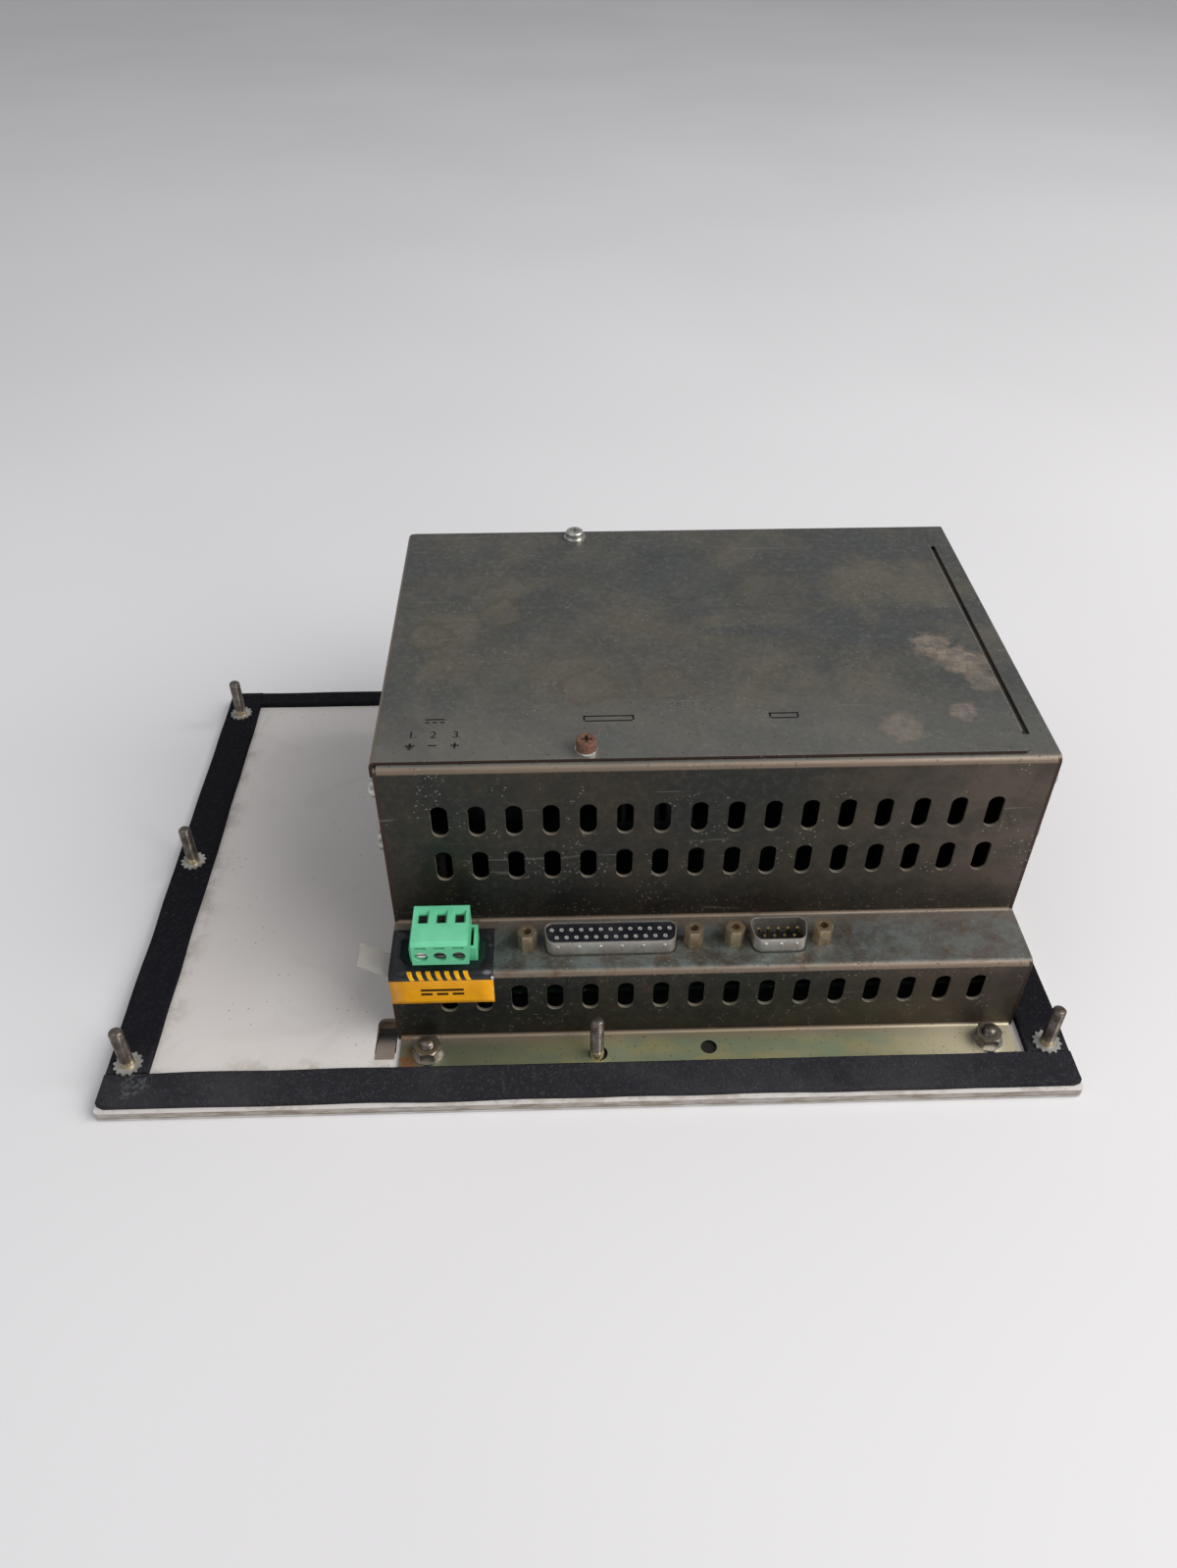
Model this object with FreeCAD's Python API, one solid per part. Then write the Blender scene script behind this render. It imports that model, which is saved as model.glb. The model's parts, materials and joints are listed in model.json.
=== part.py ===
"""Rear-mounted operator panel with touch display and numeric keypad, lying on its front face.

Frame, in millimetres: +Z points out of the panel's back, +X to the right seen from behind with the
connectors at the bottom, +Y up the panel.  The origin is the centre of the front face.
"""
import FreeCAD, Part
import math
import os

V = FreeCAD.Vector

# Front panel: an overlay, a membrane circuit and a coated metal plate, stacked along Z
PANEL_W = 276.0
PANEL_H = 194.0
PANEL_R = 1.5
OVERLAY_TOP = 0.6
CIRCUIT_TOP = 1.0
PLATE_TOP = 3.0
CIRCUIT_INSET = 0.3

# Display, its window and the touch glass
DISPLAY_X = 34.0
DISPLAY_Y = 10.0
WINDOW_W, WINDOW_H = 132.0, 100.0
APERTURE_W, APERTURE_H = 140.0, 106.0
TOUCH_GAP = 0.5
FIT_GAP = 0.1
BEZEL_W, BEZEL_H = 158.0, 118.0
BEZEL_TOP = 11.0
BEZEL_WALL = 0.5
VIEW_W, VIEW_H = 134.0, 101.5
GLASS_T = 2.2
LIGHT_GUIDE_T = 4.4

# Keypad
KEY_NAMES = (("1", "2", "3"), ("4", "5", "6"), ("7", "8", "9"), ("minus", "0", "point"))
KEY_SIDE = 15.0
KEY_R = 2.0
KEY_PITCH = 19.0
KEY_RIGHT_X = -110.0
KEY_TOP_Y = 40.0
KEY_GAP = 0.3
KEY_FRONT = 0.05
TAIL_SLOT = (-62.4, -56.3, -80.3, -66.3)
TAIL_SLOT_R = 2.2
TAIL_T = 0.2
TAIL_SIDE_GAP = 0.3
TAIL_FLAT = 4.0
TAIL_REST = 0.7

# Foam gasket
GASKET_TOP = 5.0
GASKET_OUT = (-137.4, 137.4, -95.6, 95.8)
GASKET_IN = (-125.5, 125.2, -84.9, 88.6)
GASKET_R = 1.2

# Mounting studs round the edge and the studs that hold the chassis
STUD_R = 2.0
STUD_TOP = 20.0
STUD_TIP = 0.5
STUD_FOOT_R = 1.75
STUD_FOOT_TOP = 5.7
STUD_X, STUD_Y = 131.5, 82.0
STUD_MID_X = 1.6
STAR_R, STAR_ROOT_R, STAR_T = 4.1, 3.3, 0.6
STAR_TEETH = 13
CHASSIS_STUD_X = (-46.7, 114.8)
CHASSIS_STUD_Y = (-79.9, 78.4)
CHASSIS_STUD_TOP = 9.8
NUT_AF, NUT_H = 7.0, 3.2
WASHER_R, WASHER_T = 4.5, 0.8
THREAD_GAP = 0.05

# Chassis: one folded steel sheet in the shape of a stepped hat, closed by two end plates
SHEET = 1.0
BEND_IN = 1.0
CH_LEFT, CH_RIGHT = -56.0, 124.0
FLANGE_NEAR, FLANGE_FAR = -84.4, 82.9
LOWER_WALL_Y = -73.9
UPPER_WALL_Y = -53.5
FAR_WALL_Y = 72.4
LEDGE_Z = 31.1
CHASSIS_TOP = 88.2
FLANGE_HOLE_R = 2.35
FLANGE_HOLE_X = 34.0
STUD_CLEAR_R = 2.7
STUD_CLEAR_SHIFT = (0.4, 0.7)
TOP_HOLE = (-46.0, 118.3, -43.3, 57.7)
TAB_W = 10.0
TAB_Z = (40.0, 84.0)
END_PLATE_STEP_R = 0.8
END_PLATE_CORNER_R = 2.0
SLOT_W, SLOT_H = 4.6, 10.9
SLOT_COUNT, SLOT_PITCH, SLOT_X0 = 16, 10.0, -40.0
UPPER_SLOT_Z = (69.7, 53.0)
LOWER_SLOT_Z = 20.6

# Rear cover
COVER_X = (-57.0, 115.8)
COVER_Y = (-51.5, 68.9)
COVER_LIP = 5.0
COVER_CORNER_R = 3.0
COVER_BEND_IN = 0.8
COVER_END_W = 7.0
TONGUE_X = 121.0
TONGUE_DROP = 2.1
TONGUE_BEND_IN = 0.3
TONGUE_CLEAR = 0.3
FAR_SCREW = (-1.2, 65.1)
NEAR_SCREW = (-0.4, -48.0)
M3_R = 1.45
M3_HOLE_R = 1.5
M3_CLEAR_R = 1.7
PAN_R, PAN_H = 2.9, 2.2
PAN_EDGE_R = 0.8
PAN_RECESS, PAN_RECESS_W, PAN_RECESS_D = 1.5, 0.8, 1.1
SCREW_L = 6.0
OLD_HEAD_R, OLD_HEAD_H, OLD_HEAD_EDGE_R = 2.75, 2.9, 0.4
FLAT_WASHER_R, FLAT_WASHER_T = 3.6, 0.5
SPRING_WASHER_R, SPRING_WASHER_T, SPRING_WASHER_GAP = 3.0, 0.9, 0.5
SIDE_SCREW_Y = (-48.0, 66.5)
SIDE_SCREW_Z = (78.0, 58.7)

# Connectors on the ledge
CONN_Y = -63.7
BOARD_TOP = 20.0
BOARD_T = 1.6
PIN_PITCH = 2.77
ROW_PITCH = 2.84
D_SLOPE = math.radians(10.0)
D_FLANGE_T = 0.8
D_FLANGE_H = 12.5
D_SHELL_TOP = 36.2
D_FACE_DROP = 0.4
D_CUT_CLEAR = 0.8
D_EAR = 6.0
SOCKET_R, SOCKET_BORE_R, SOCKET_BORE_L, SOCKET_DROP = 0.6, 0.35, 4.0, 0.45
DB25_X, DB25_W, DB25_H, DB25_SPAN = 6.0, 38.4, 7.9, 47.0
DE9_X, DE9_W, DE9_H, DE9_SPAN = 53.6, 17.2, 8.8, 25.0
D_WALL = 0.45
PIN_R, PIN_TIP = 0.5, 0.5
D_CORNER_R = 2.6
JACK_AF, JACK_TOP = 4.76, 37.1
JACK_HOLE_R, JACK_HOLE_L = 1.2, 5.0
JACK_STEM_R = 1.35

# Three-pole pluggable power terminal
POLE_PITCH = 5.08
PLUG_X = -40.85
PLUG_W = 15.4
PLUG_Y = (-75.0, -60.2)
PLUG_Z = (36.5, 45.0)
NECK_W = 14.9
NECK_Y = (-67.3, -61.3)
NECK_BOTTOM = 27.0
HEADER_W = 18.9
HEADER_Y = (-68.7, -59.9)
HEADER_WALL = 1.0
HEADER_TOP = 36.2
HEADER_FLOOR = 24.0
PIN_SIDE = 1.0
PIN_Y = -64.3
PIN_TOP = 32.0
PLUG_CHAMFER = (1.1, 0.9)
PLUG_STEP = (0.6, 0.5)
CHAMBER = (2.1, -71.0, -61.6, 37.5, 43.4)
MOUTH = (1.75, -67.2, -62.2)
THROAT = (1.25, -66.6, -63.0)
MOUTH_DEPTH = 1.0
TEST_SLOT = (1.4, 2.0, 43.0, 43.7)
PIN_WAY = (1.3, -66.2, -63.4)
CONTACT = (1.0, -65.9, -65.3)
CAGE = (1.9, -68.6, -62.0, 38.0, 43.0)
CAGE_WALL = 0.6
CLAMP_Z = 40.0
CLAMP_HEAD_R, CLAMP_SHAFT_R = 1.5, 1.2
CLAMP_HEAD_Y = (-74.2, -72.1)
CLAMP_TIP_Y = -66.2
CLAMP_SLOT_W, CLAMP_SLOT_D = 0.5, 0.7
RUNNING_GAP = 0.07
LOOSE_GAP = 0.3

LABEL_T = 0.15
LABEL_X = (-56.0, -27.0)
LABEL_FAR_Y = -57.0
LABEL_BOTTOM = 19.3
FILM_T = 0.25
FILM_Z = 28.8
FILM_Y = (-72.0, -63.5)
FILM_BEND_IN = 1.5
FILM_SLOT_GAP = 0.3

MAIN_BOARD = (-53.5, 121.5, -70.5, 68.0)
POWER_BOARD = (-48.0, 40.0, -46.0, 62.0)
BOARD_R = 1.0
STANDOFF_AF = 5.0
STANDOFF_XY = ((-50.2, 62.0), (118.2, 62.0), (-50.2, -48.0), (118.2, -48.0))
POWER_BOARD_TOP = 52.0
POWER_POST_XY = ((-44.0, 58.0), (36.0, 58.0), (-44.0, -42.0), (36.0, -42.0))

# Parts on the boards: centre, plan size and height of each, and the heat sink's base and fins
CHIPS = ((70, 30, 29, 29, 3.5), (30, 30, 18, 8, 2.5), (30, 16, 18, 8, 2.5), (96, 40, 10, 24, 2.8),
         (96, 8, 10, 24, 2.8), (-10, 34, 37, 15, 6.0), (-10, 10, 37, 15, 6.0), (54, -30, 20, 8, 2.8),
         (6, -30, 20, 8, 2.8), (84, -30, 16, 8, 2.8))
CLOCK_CELL_X, CLOCK_CELL_Y, CLOCK_CELL_R, CLOCK_CELL_H = 70.0, -4.0, 10.0, 4.0
POWER_BLOCKS = ((-20, 30, 30, 26, 24), (16, 34, 16, 16, 14), (-24, -28, 20, 12, 10))
CAPACITOR_X = (-30, -16, -2, 12)
CAPACITOR_Y, CAPACITOR_R, CAPACITOR_H = 2.0, 5.0, 20.0
SINK_X, SINK_Y, SINK_W, SINK_L, SINK_BASE, SINK_H = 20.0, -26.0, 22.0, 26.0, 3.2, 24.0
FIN_T, FIN_PITCH, FIN_PAIRS = 1.2, 3.2, 3


def box(x0, x1, y0, y1, z0, z1):
    return Part.makeBox(x1 - x0, y1 - y0, z1 - z0, V(x0, y0, z0))


def block(cx, cy, w, h, z0, z1):
    return box(cx - w / 2, cx + w / 2, cy - h / 2, cy + h / 2, z0, z1)


def rod(r, x, y, z0, z1):
    return Part.makeCylinder(r, z1 - z0, V(x, y, z0), V(0, 0, 1))


def rod_x(r, x0, x1, y, z):
    return Part.makeCylinder(r, x1 - x0, V(x0, y, z), V(1, 0, 0))


def rod_y(r, x, y0, y1, z):
    return Part.makeCylinder(r, y1 - y0, V(x, y0, z), V(0, 1, 0))


def fused(shapes):
    first, rest = shapes[0], shapes[1:]
    return first.multiFuse(rest).removeSplitter() if rest else first


def group(shapes):
    return Part.makeCompound(shapes)


def rounded_wire(points, radii):
    """Closed wire through the points, with a tangent arc of the given radius at each corner."""
    entries, exits, arcs = [], [], []
    for i, (corner, radius) in enumerate(zip(points, radii)):
        back = (points[i - 1] - corner).normalize()
        ahead = (points[(i + 1) % len(points)] - corner).normalize()
        if radius == 0:
            entries.append(corner)
            exits.append(corner)
            arcs.append(None)
            continue
        half = back.getAngle(ahead) / 2
        reach = radius / math.tan(half)
        entries.append(corner + back * reach)
        exits.append(corner + ahead * reach)
        inward = (back + ahead).normalize()
        middle = corner + inward * (radius / math.sin(half) - radius)
        arcs.append(Part.Arc(entries[-1], middle, exits[-1]).toShape())
    edges = []
    for i, arc in enumerate(arcs):
        if arc is not None:
            edges.append(arc)
        start, end = exits[i], entries[(i + 1) % len(points)]
        if start.distanceToPoint(end) > 1e-6:
            edges.append(Part.LineSegment(start, end).toShape())
    return Part.Wire(edges)


def prism(points, radii, along):
    return Part.Face(rounded_wire(points, radii)).extrude(along)


def slab(x0, x1, y0, y1, z0, z1, r):
    """Flat plate with four rounded corners."""
    corners = [V(x0, y0, z0), V(x1, y0, z0), V(x1, y1, z0), V(x0, y1, z0)]
    return prism(corners, [r] * 4, V(0, 0, z1 - z0))


def centred_slab(cx, cy, w, h, z0, z1, r):
    return slab(cx - w / 2, cx + w / 2, cy - h / 2, cy + h / 2, z0, z1, r)


def hexagon(af, x, y, z0, z1):
    reach = af / math.sqrt(3)
    points = [V(x + reach * math.cos(k * math.pi / 3), y + reach * math.sin(k * math.pi / 3), z0)
              for k in range(6)]
    return prism(points, [0] * 6, V(0, 0, z1 - z0))


def offset_line(path, shift):
    """The open path moved sideways by shift, with mitred corners."""
    moved = []
    for i, (u, v) in enumerate(path):
        normals = []
        for a, b in ((i - 1, i), (i, i + 1)):
            if a >= 0 and b < len(path):
                du, dv = path[b][0] - path[a][0], path[b][1] - path[a][1]
                size = math.hypot(du, dv)
                normals.append((-dv / size, du / size))
        nu = sum(n[0] for n in normals) / len(normals)
        nv = sum(n[1] for n in normals) / len(normals)
        scale = shift / (nu * nu + nv * nv)
        moved.append((u + nu * scale, v + nv * scale))
    return moved


def turn_sign(path, i):
    (u0, v0), (u1, v1), (u2, v2) = path[i - 1], path[i], path[i + 1]
    return 1 if (u1 - u0) * (v2 - v1) - (v1 - v0) * (u2 - u1) > 0 else -1


def folded_sheet(path, thickness, inner_r, place, along):
    """Sheet folded along a path of (u, v) points at its middle; place(u, v) gives the 3-D point."""
    left = offset_line(path, thickness / 2)
    right = offset_line(path, -thickness / 2)
    left_r, right_r = [0], [0]
    for i in range(1, len(path) - 1):
        inside_left = turn_sign(path, i) > 0
        left_r.append(inner_r if inside_left else inner_r + thickness)
        right_r.append(inner_r + thickness if inside_left else inner_r)
    left_r.append(0)
    right_r.append(0)
    outline = [place(u, v) for u, v in left + right[::-1]]
    return prism(outline, left_r + right_r[::-1], along)


def at_x(x):
    return lambda y, z: V(x, y, z)


def at_y(y):
    return lambda x, z: V(x, y, z)


def d_outline(cx, cy, w, h, z, r):
    """D-shaped connector outline, wide side towards +Y."""
    slope = h * math.tan(D_SLOPE)
    return [V(cx - w / 2, cy + h / 2, z), V(cx - w / 2 + slope, cy - h / 2, z),
            V(cx + w / 2 - slope, cy - h / 2, z), V(cx + w / 2, cy + h / 2, z)], [r] * 4


def d_prism(cx, cy, w, h, z0, z1, r=D_CORNER_R):
    points, radii = d_outline(cx, cy, w, h, z0, r)
    return prism(points, radii, V(0, 0, z1 - z0))


def cross_recess(x, y, top):
    wide = block(x, y, 2 * PAN_RECESS, PAN_RECESS_W, top - PAN_RECESS_D, top)
    tall = block(x, y, PAN_RECESS_W, 2 * PAN_RECESS, top - PAN_RECESS_D, top)
    return wide.fuse(tall)


def key_places():
    for row, names in enumerate(KEY_NAMES):
        for column, name in enumerate(names):
            # Column 1 is on the operator's left, which is the +X side seen from behind
            x = KEY_RIGHT_X + (len(names) - 1 - column) * KEY_PITCH
            yield "key_" + name, x, KEY_TOP_Y - row * KEY_PITCH


def pole_places():
    return [PLUG_X + (k - 1) * POLE_PITCH for k in range(3)]


def mounting_stud_places():
    corners = [(sx * STUD_X, sy * STUD_Y) for sx in (-1, 1) for sy in (-1, 1)]
    sides = [(sx * STUD_X, 0.0) for sx in (-1, 1)]
    middles = [(STUD_MID_X, sy * STUD_Y) for sy in (-1, 1)]
    return corners + sides, middles


def chassis_stud_places():
    return [(x, y) for x in CHASSIS_STUD_X for y in CHASSIS_STUD_Y]


def d_pin_places(cx, wide_count):
    """Contact places of a two-row connector: the long row is the one towards +Y."""
    rows = ((wide_count, ROW_PITCH / 2), (wide_count - 1, -ROW_PITCH / 2))
    return [(cx + (k - (count - 1) / 2) * PIN_PITCH, CONN_Y + dy)
            for count, dy in rows for k in range(count)]


def jackpost_places():
    return [(cx + side * span / 2, CONN_Y)
            for cx, span in ((DB25_X, DB25_SPAN), (DE9_X, DE9_SPAN)) for side in (-1, 1)]


def panel_outline(z0, z1, inset=0.0):
    return centred_slab(0, 0, PANEL_W - 2 * inset, PANEL_H - 2 * inset, z0, z1, PANEL_R)


def tail_slot(z0, z1):
    x0, x1, y0, y1 = TAIL_SLOT
    return slab(x0, x1, y0, y1, z0, z1, TAIL_SLOT_R)


def front_overlay():
    holes = [centred_slab(DISPLAY_X, DISPLAY_Y, WINDOW_W, WINDOW_H, 0, OVERLAY_TOP, 1.0)]
    side = KEY_SIDE + 2 * KEY_GAP
    holes += [centred_slab(x, y, side, side, 0, OVERLAY_TOP, KEY_R + KEY_GAP)
              for _, x, y in key_places()]
    return panel_outline(0, OVERLAY_TOP).cut(fused(holes))


def membrane_circuit():
    side = KEY_SIDE + 2 * KEY_GAP
    holes = [block(DISPLAY_X, DISPLAY_Y, APERTURE_W, APERTURE_H, OVERLAY_TOP, CIRCUIT_TOP)]
    holes += [centred_slab(x, y, side, side, OVERLAY_TOP, CIRCUIT_TOP, KEY_R + KEY_GAP)
              for _, x, y in key_places()]
    return panel_outline(OVERLAY_TOP, CIRCUIT_TOP, CIRCUIT_INSET).cut(fused(holes))


def front_panel_plate():
    aperture = centred_slab(DISPLAY_X, DISPLAY_Y, APERTURE_W, APERTURE_H, CIRCUIT_TOP, PLATE_TOP, 1.0)
    openings = fused([aperture, tail_slot(CIRCUIT_TOP, PLATE_TOP)])
    return panel_outline(CIRCUIT_TOP, PLATE_TOP).cut(openings)


def keypad_tail():
    """Flexible tail that climbs out of the slot and lies over the slot's lower edge."""
    x0, x1, y0, y1 = TAIL_SLOT
    low, high = CIRCUIT_TOP + TAIL_T / 2, PLATE_TOP + TAIL_T / 2 + FIT_GAP
    path = [(y1 - TAIL_SLOT_R, low), (y1 - TAIL_FLAT, low), (y0 + TAIL_SLOT_R + TAIL_REST, high),
            (y0 - TAIL_REST, high)]
    width = x1 - x0 - 2 * TAIL_SIDE_GAP
    return folded_sheet(path, TAIL_T, BEND_IN, at_x(x0 + TAIL_SIDE_GAP), V(width, 0, 0))


def key(x, y):
    return centred_slab(x, y, KEY_SIDE, KEY_SIDE, KEY_FRONT, OVERLAY_TOP, KEY_R)


def display_window():
    w, h = WINDOW_W - 2 * FIT_GAP, WINDOW_H - 2 * FIT_GAP
    return centred_slab(DISPLAY_X, DISPLAY_Y, w, h, KEY_FRONT, OVERLAY_TOP, 1.0)


def touch_sensor():
    w, h = APERTURE_W - 2 * TOUCH_GAP, APERTURE_H - 2 * TOUCH_GAP
    return block(DISPLAY_X, DISPLAY_Y, w, h, OVERLAY_TOP + FIT_GAP, PLATE_TOP - FIT_GAP)


def lcd_bezel():
    """Folded frame of the display: a front face with a view opening and four sides."""
    shell = centred_slab(DISPLAY_X, DISPLAY_Y, BEZEL_W, BEZEL_H, PLATE_TOP, BEZEL_TOP, 1.0)
    inner_w, inner_h = BEZEL_W - 2 * BEZEL_WALL, BEZEL_H - 2 * BEZEL_WALL
    inside = block(DISPLAY_X, DISPLAY_Y, inner_w, inner_h, PLATE_TOP + BEZEL_WALL, BEZEL_TOP)
    view = block(DISPLAY_X, DISPLAY_Y, VIEW_W, VIEW_H, PLATE_TOP, BEZEL_TOP)
    return shell.cut(inside).cut(view)


def lcd_glass():
    z0 = PLATE_TOP + BEZEL_WALL + FIT_GAP
    return block(DISPLAY_X, DISPLAY_Y, BEZEL_W - 3, BEZEL_H - 3, z0, z0 + GLASS_T)


def backlight():
    z0 = PLATE_TOP + BEZEL_WALL + GLASS_T + 2 * FIT_GAP
    guide = block(DISPLAY_X, DISPLAY_Y, BEZEL_W - 3, BEZEL_H - 3, z0, z0 + LIGHT_GUIDE_T)
    groove = block(DISPLAY_X, DISPLAY_Y - BEZEL_H / 2 + 5, BEZEL_W, 3.0, z0 + 1.2, z0 + LIGHT_GUIDE_T)
    return guide.cut(groove)


def panel_gasket():
    ring = slab(*GASKET_OUT, PLATE_TOP, GASKET_TOP, GASKET_R)
    ring = ring.cut(box(*GASKET_IN, PLATE_TOP, GASKET_TOP))
    outer, middles = mounting_stud_places()
    return ring.cut(fused([rod(STUD_R + THREAD_GAP, x, y, PLATE_TOP, GASKET_TOP)
                           for x, y in outer + middles]))


def stud(x, y, z0, top):
    shank = rod(STUD_R, x, y, z0, top - STUD_TIP)
    tip = Part.makeCone(STUD_R, STUD_R - STUD_TIP, STUD_TIP, V(x, y, top - STUD_TIP), V(0, 0, 1))
    return shank.fuse(tip).removeSplitter()


def mounting_stud(x, y):
    """Welded stud whose thread begins above the foam and the washer, over a plain foot."""
    foot = rod(STUD_FOOT_R, x, y, PLATE_TOP, STUD_FOOT_TOP)
    return foot.fuse(stud(x, y, STUD_FOOT_TOP, STUD_TOP))


def mounting_studs():
    outer, middles = mounting_stud_places()
    return group([mounting_stud(x, y) for x, y in outer + middles])


def chassis_studs():
    return group([stud(x, y, PLATE_TOP, CHASSIS_STUD_TOP) for x, y in chassis_stud_places()])


def star_washer(x, y):
    """Lock washer with teeth round its outside."""
    disc = rod(STAR_R, x, y, GASKET_TOP, GASKET_TOP + STAR_T)
    disc = disc.cut(rod(STUD_R + THREAD_GAP, x, y, GASKET_TOP, GASKET_TOP + STAR_T))
    notches = []
    for k in range(STAR_TEETH):
        angle = 2 * math.pi * k / STAR_TEETH
        cx, cy = x + (STAR_R + 0.1) * math.cos(angle), y + (STAR_R + 0.1) * math.sin(angle)
        notches.append(rod(STAR_R - STAR_ROOT_R - 0.1, cx, cy, GASKET_TOP, GASKET_TOP + STAR_T))
    return disc.cut(fused(notches))


def stud_lock_washers():
    outer, _ = mounting_stud_places()
    return group([star_washer(x, y) for x, y in outer])


def washer(outer_r, hole_r, x, y, z0, thickness):
    return rod(outer_r, x, y, z0, z0 + thickness).cut(rod(hole_r, x, y, z0, z0 + thickness))


def chassis_washers():
    z0, hole_r = PLATE_TOP + SHEET, STUD_R + THREAD_GAP
    return group([washer(WASHER_R, hole_r, x, y, z0, WASHER_T) for x, y in chassis_stud_places()])


def chassis_nut(x, y):
    """Hexagon nut with its upper corners chamfered."""
    z0 = PLATE_TOP + SHEET + WASHER_T
    cone_top_r = NUT_AF / 2
    cone = Part.makeCone(cone_top_r + NUT_H, cone_top_r, NUT_H, V(x, y, z0), V(0, 0, 1))
    nut = hexagon(NUT_AF, x, y, z0, z0 + NUT_H).common(cone)
    return nut.cut(rod(STUD_R + THREAD_GAP, x, y, z0, z0 + NUT_H))


def chassis_nuts():
    return group([chassis_nut(x, y) for x, y in chassis_stud_places()])


def vent_slot(x, z, y0, y1):
    half_w, half_h = SLOT_W / 2, SLOT_H / 2
    corners = [V(x - half_w, y0, z - half_h), V(x + half_w, y0, z - half_h),
               V(x + half_w, y0, z + half_h), V(x - half_w, y0, z + half_h)]
    return prism(corners, [half_w - 0.01] * 4, V(0, y1 - y0, 0))


def vent_slots():
    xs = [SLOT_X0 + k * SLOT_PITCH for k in range(SLOT_COUNT)]
    upper = [vent_slot(x, z, UPPER_WALL_Y - 1, UPPER_WALL_Y + 2) for x in xs for z in UPPER_SLOT_Z]
    lower = [vent_slot(x, LOWER_SLOT_Z, LOWER_WALL_Y - 1, LOWER_WALL_Y + 2) for x in xs]
    return upper + lower


def chassis_holes():
    z0, z1 = PLATE_TOP - 1, PLATE_TOP + SHEET + 1
    holes = [rod(STUD_R + THREAD_GAP, x, y, z0, z1) for x, y in chassis_stud_places()]
    holes += [rod(FLANGE_HOLE_R, FLANGE_HOLE_X, y, z0, z1) for y in CHASSIS_STUD_Y]
    _, middles = mounting_stud_places()
    dx, dy = STUD_CLEAR_SHIFT
    holes += [rod(STUD_CLEAR_R, x + dx, y - math.copysign(dy, y), z0, z1) for x, y in middles]
    ledge0, ledge1 = LEDGE_Z - SHEET - 1, LEDGE_Z + 1
    holes += [rod(M3_CLEAR_R, x, y, ledge0, ledge1) for x, y in jackpost_places()]
    for cx, w, h in ((DB25_X, DB25_W, DB25_H), (DE9_X, DE9_W, DE9_H)):
        holes.append(d_prism(cx, CONN_Y, w + D_CUT_CLEAR, h + D_CUT_CLEAR, ledge0, ledge1))
    holes.append(box(PLUG_X - HEADER_W / 2 - LOOSE_GAP, PLUG_X + HEADER_W / 2 + LOOSE_GAP,
                     HEADER_Y[0] - LOOSE_GAP, HEADER_Y[1] + LOOSE_GAP, ledge0, ledge1))
    holes.append(box(*TOP_HOLE, CHASSIS_TOP - 2, CHASSIS_TOP + 1))
    holes += [rod(M3_HOLE_R, x, y, CHASSIS_TOP - 2, CHASSIS_TOP + 1) for x, y in (FAR_SCREW, NEAR_SCREW)]
    return holes


def side_screw_places():
    return [(y, z) for y in SIDE_SCREW_Y for z in SIDE_SCREW_Z]


def chassis_sheet():
    """Hat-shaped sheet: flanges on the panel, a stepped near wall with the ledge, a top and a far wall."""
    half = SHEET / 2
    foot, ledge, top = PLATE_TOP + half, LEDGE_Z - half, CHASSIS_TOP - half
    near, upper, far = LOWER_WALL_Y + half, UPPER_WALL_Y + half, FAR_WALL_Y - half
    path = [(FLANGE_NEAR, foot), (near, foot), (near, ledge), (upper, ledge), (upper, top),
            (far, top), (far, foot), (FLANGE_FAR, foot)]
    x0, x1 = CH_LEFT + SHEET, CH_RIGHT - SHEET
    sheet = folded_sheet(path, SHEET, BEND_IN, at_x(x0), V(x1 - x0, 0, 0))
    tabs = []
    for tab_x in (x0, x1 - SHEET):
        tabs.append(box(tab_x, tab_x + SHEET, UPPER_WALL_Y + half, UPPER_WALL_Y + TAB_W, *TAB_Z))
        tabs.append(box(tab_x, tab_x + SHEET, FAR_WALL_Y - TAB_W, FAR_WALL_Y - half, *TAB_Z))
    tab_holes = [rod_x(M3_HOLE_R, x0 - 1, x1 + 1, y, z) for y, z in side_screw_places()]
    return fused([sheet] + tabs).cut(fused(vent_slots() + chassis_holes() + tab_holes))


def step_space():
    """Space that holds the near flange, the lower wall, the ledge and the ledge's inner bend."""
    return box(CH_LEFT, CH_RIGHT, FLANGE_NEAR - 1, UPPER_WALL_Y + 2 * SHEET, 0, LEDGE_Z + BEND_IN)


def chassis_step():
    return chassis_sheet().common(step_space())


def chassis():
    return chassis_sheet().cut(step_space())


def end_plate(x0, top):
    outline = [V(x0, LOWER_WALL_Y, PLATE_TOP), V(x0, LOWER_WALL_Y, LEDGE_Z), V(x0, UPPER_WALL_Y, LEDGE_Z),
               V(x0, UPPER_WALL_Y, top), V(x0, FAR_WALL_Y, top), V(x0, FAR_WALL_Y, PLATE_TOP)]
    r = END_PLATE_CORNER_R
    plate = prism(outline, [0, r, END_PLATE_STEP_R, r, r, 0], V(SHEET, 0, 0))
    return plate.cut(fused([rod_x(M3_CLEAR_R, x0 - 1, x0 + 2, y, z) for y, z in side_screw_places()]))


def insulation_film():
    """Insulating film: it lies under the ledge and curls up where it leaves the side plate."""
    path = [(CH_LEFT + 5.0, FILM_Z), (CH_LEFT - 1.0, FILM_Z), (CH_LEFT - 8.4, FILM_Z + 4.9)]
    return folded_sheet(path, FILM_T, FILM_BEND_IN, at_y(FILM_Y[0]), V(0, FILM_Y[1] - FILM_Y[0], 0))


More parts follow.
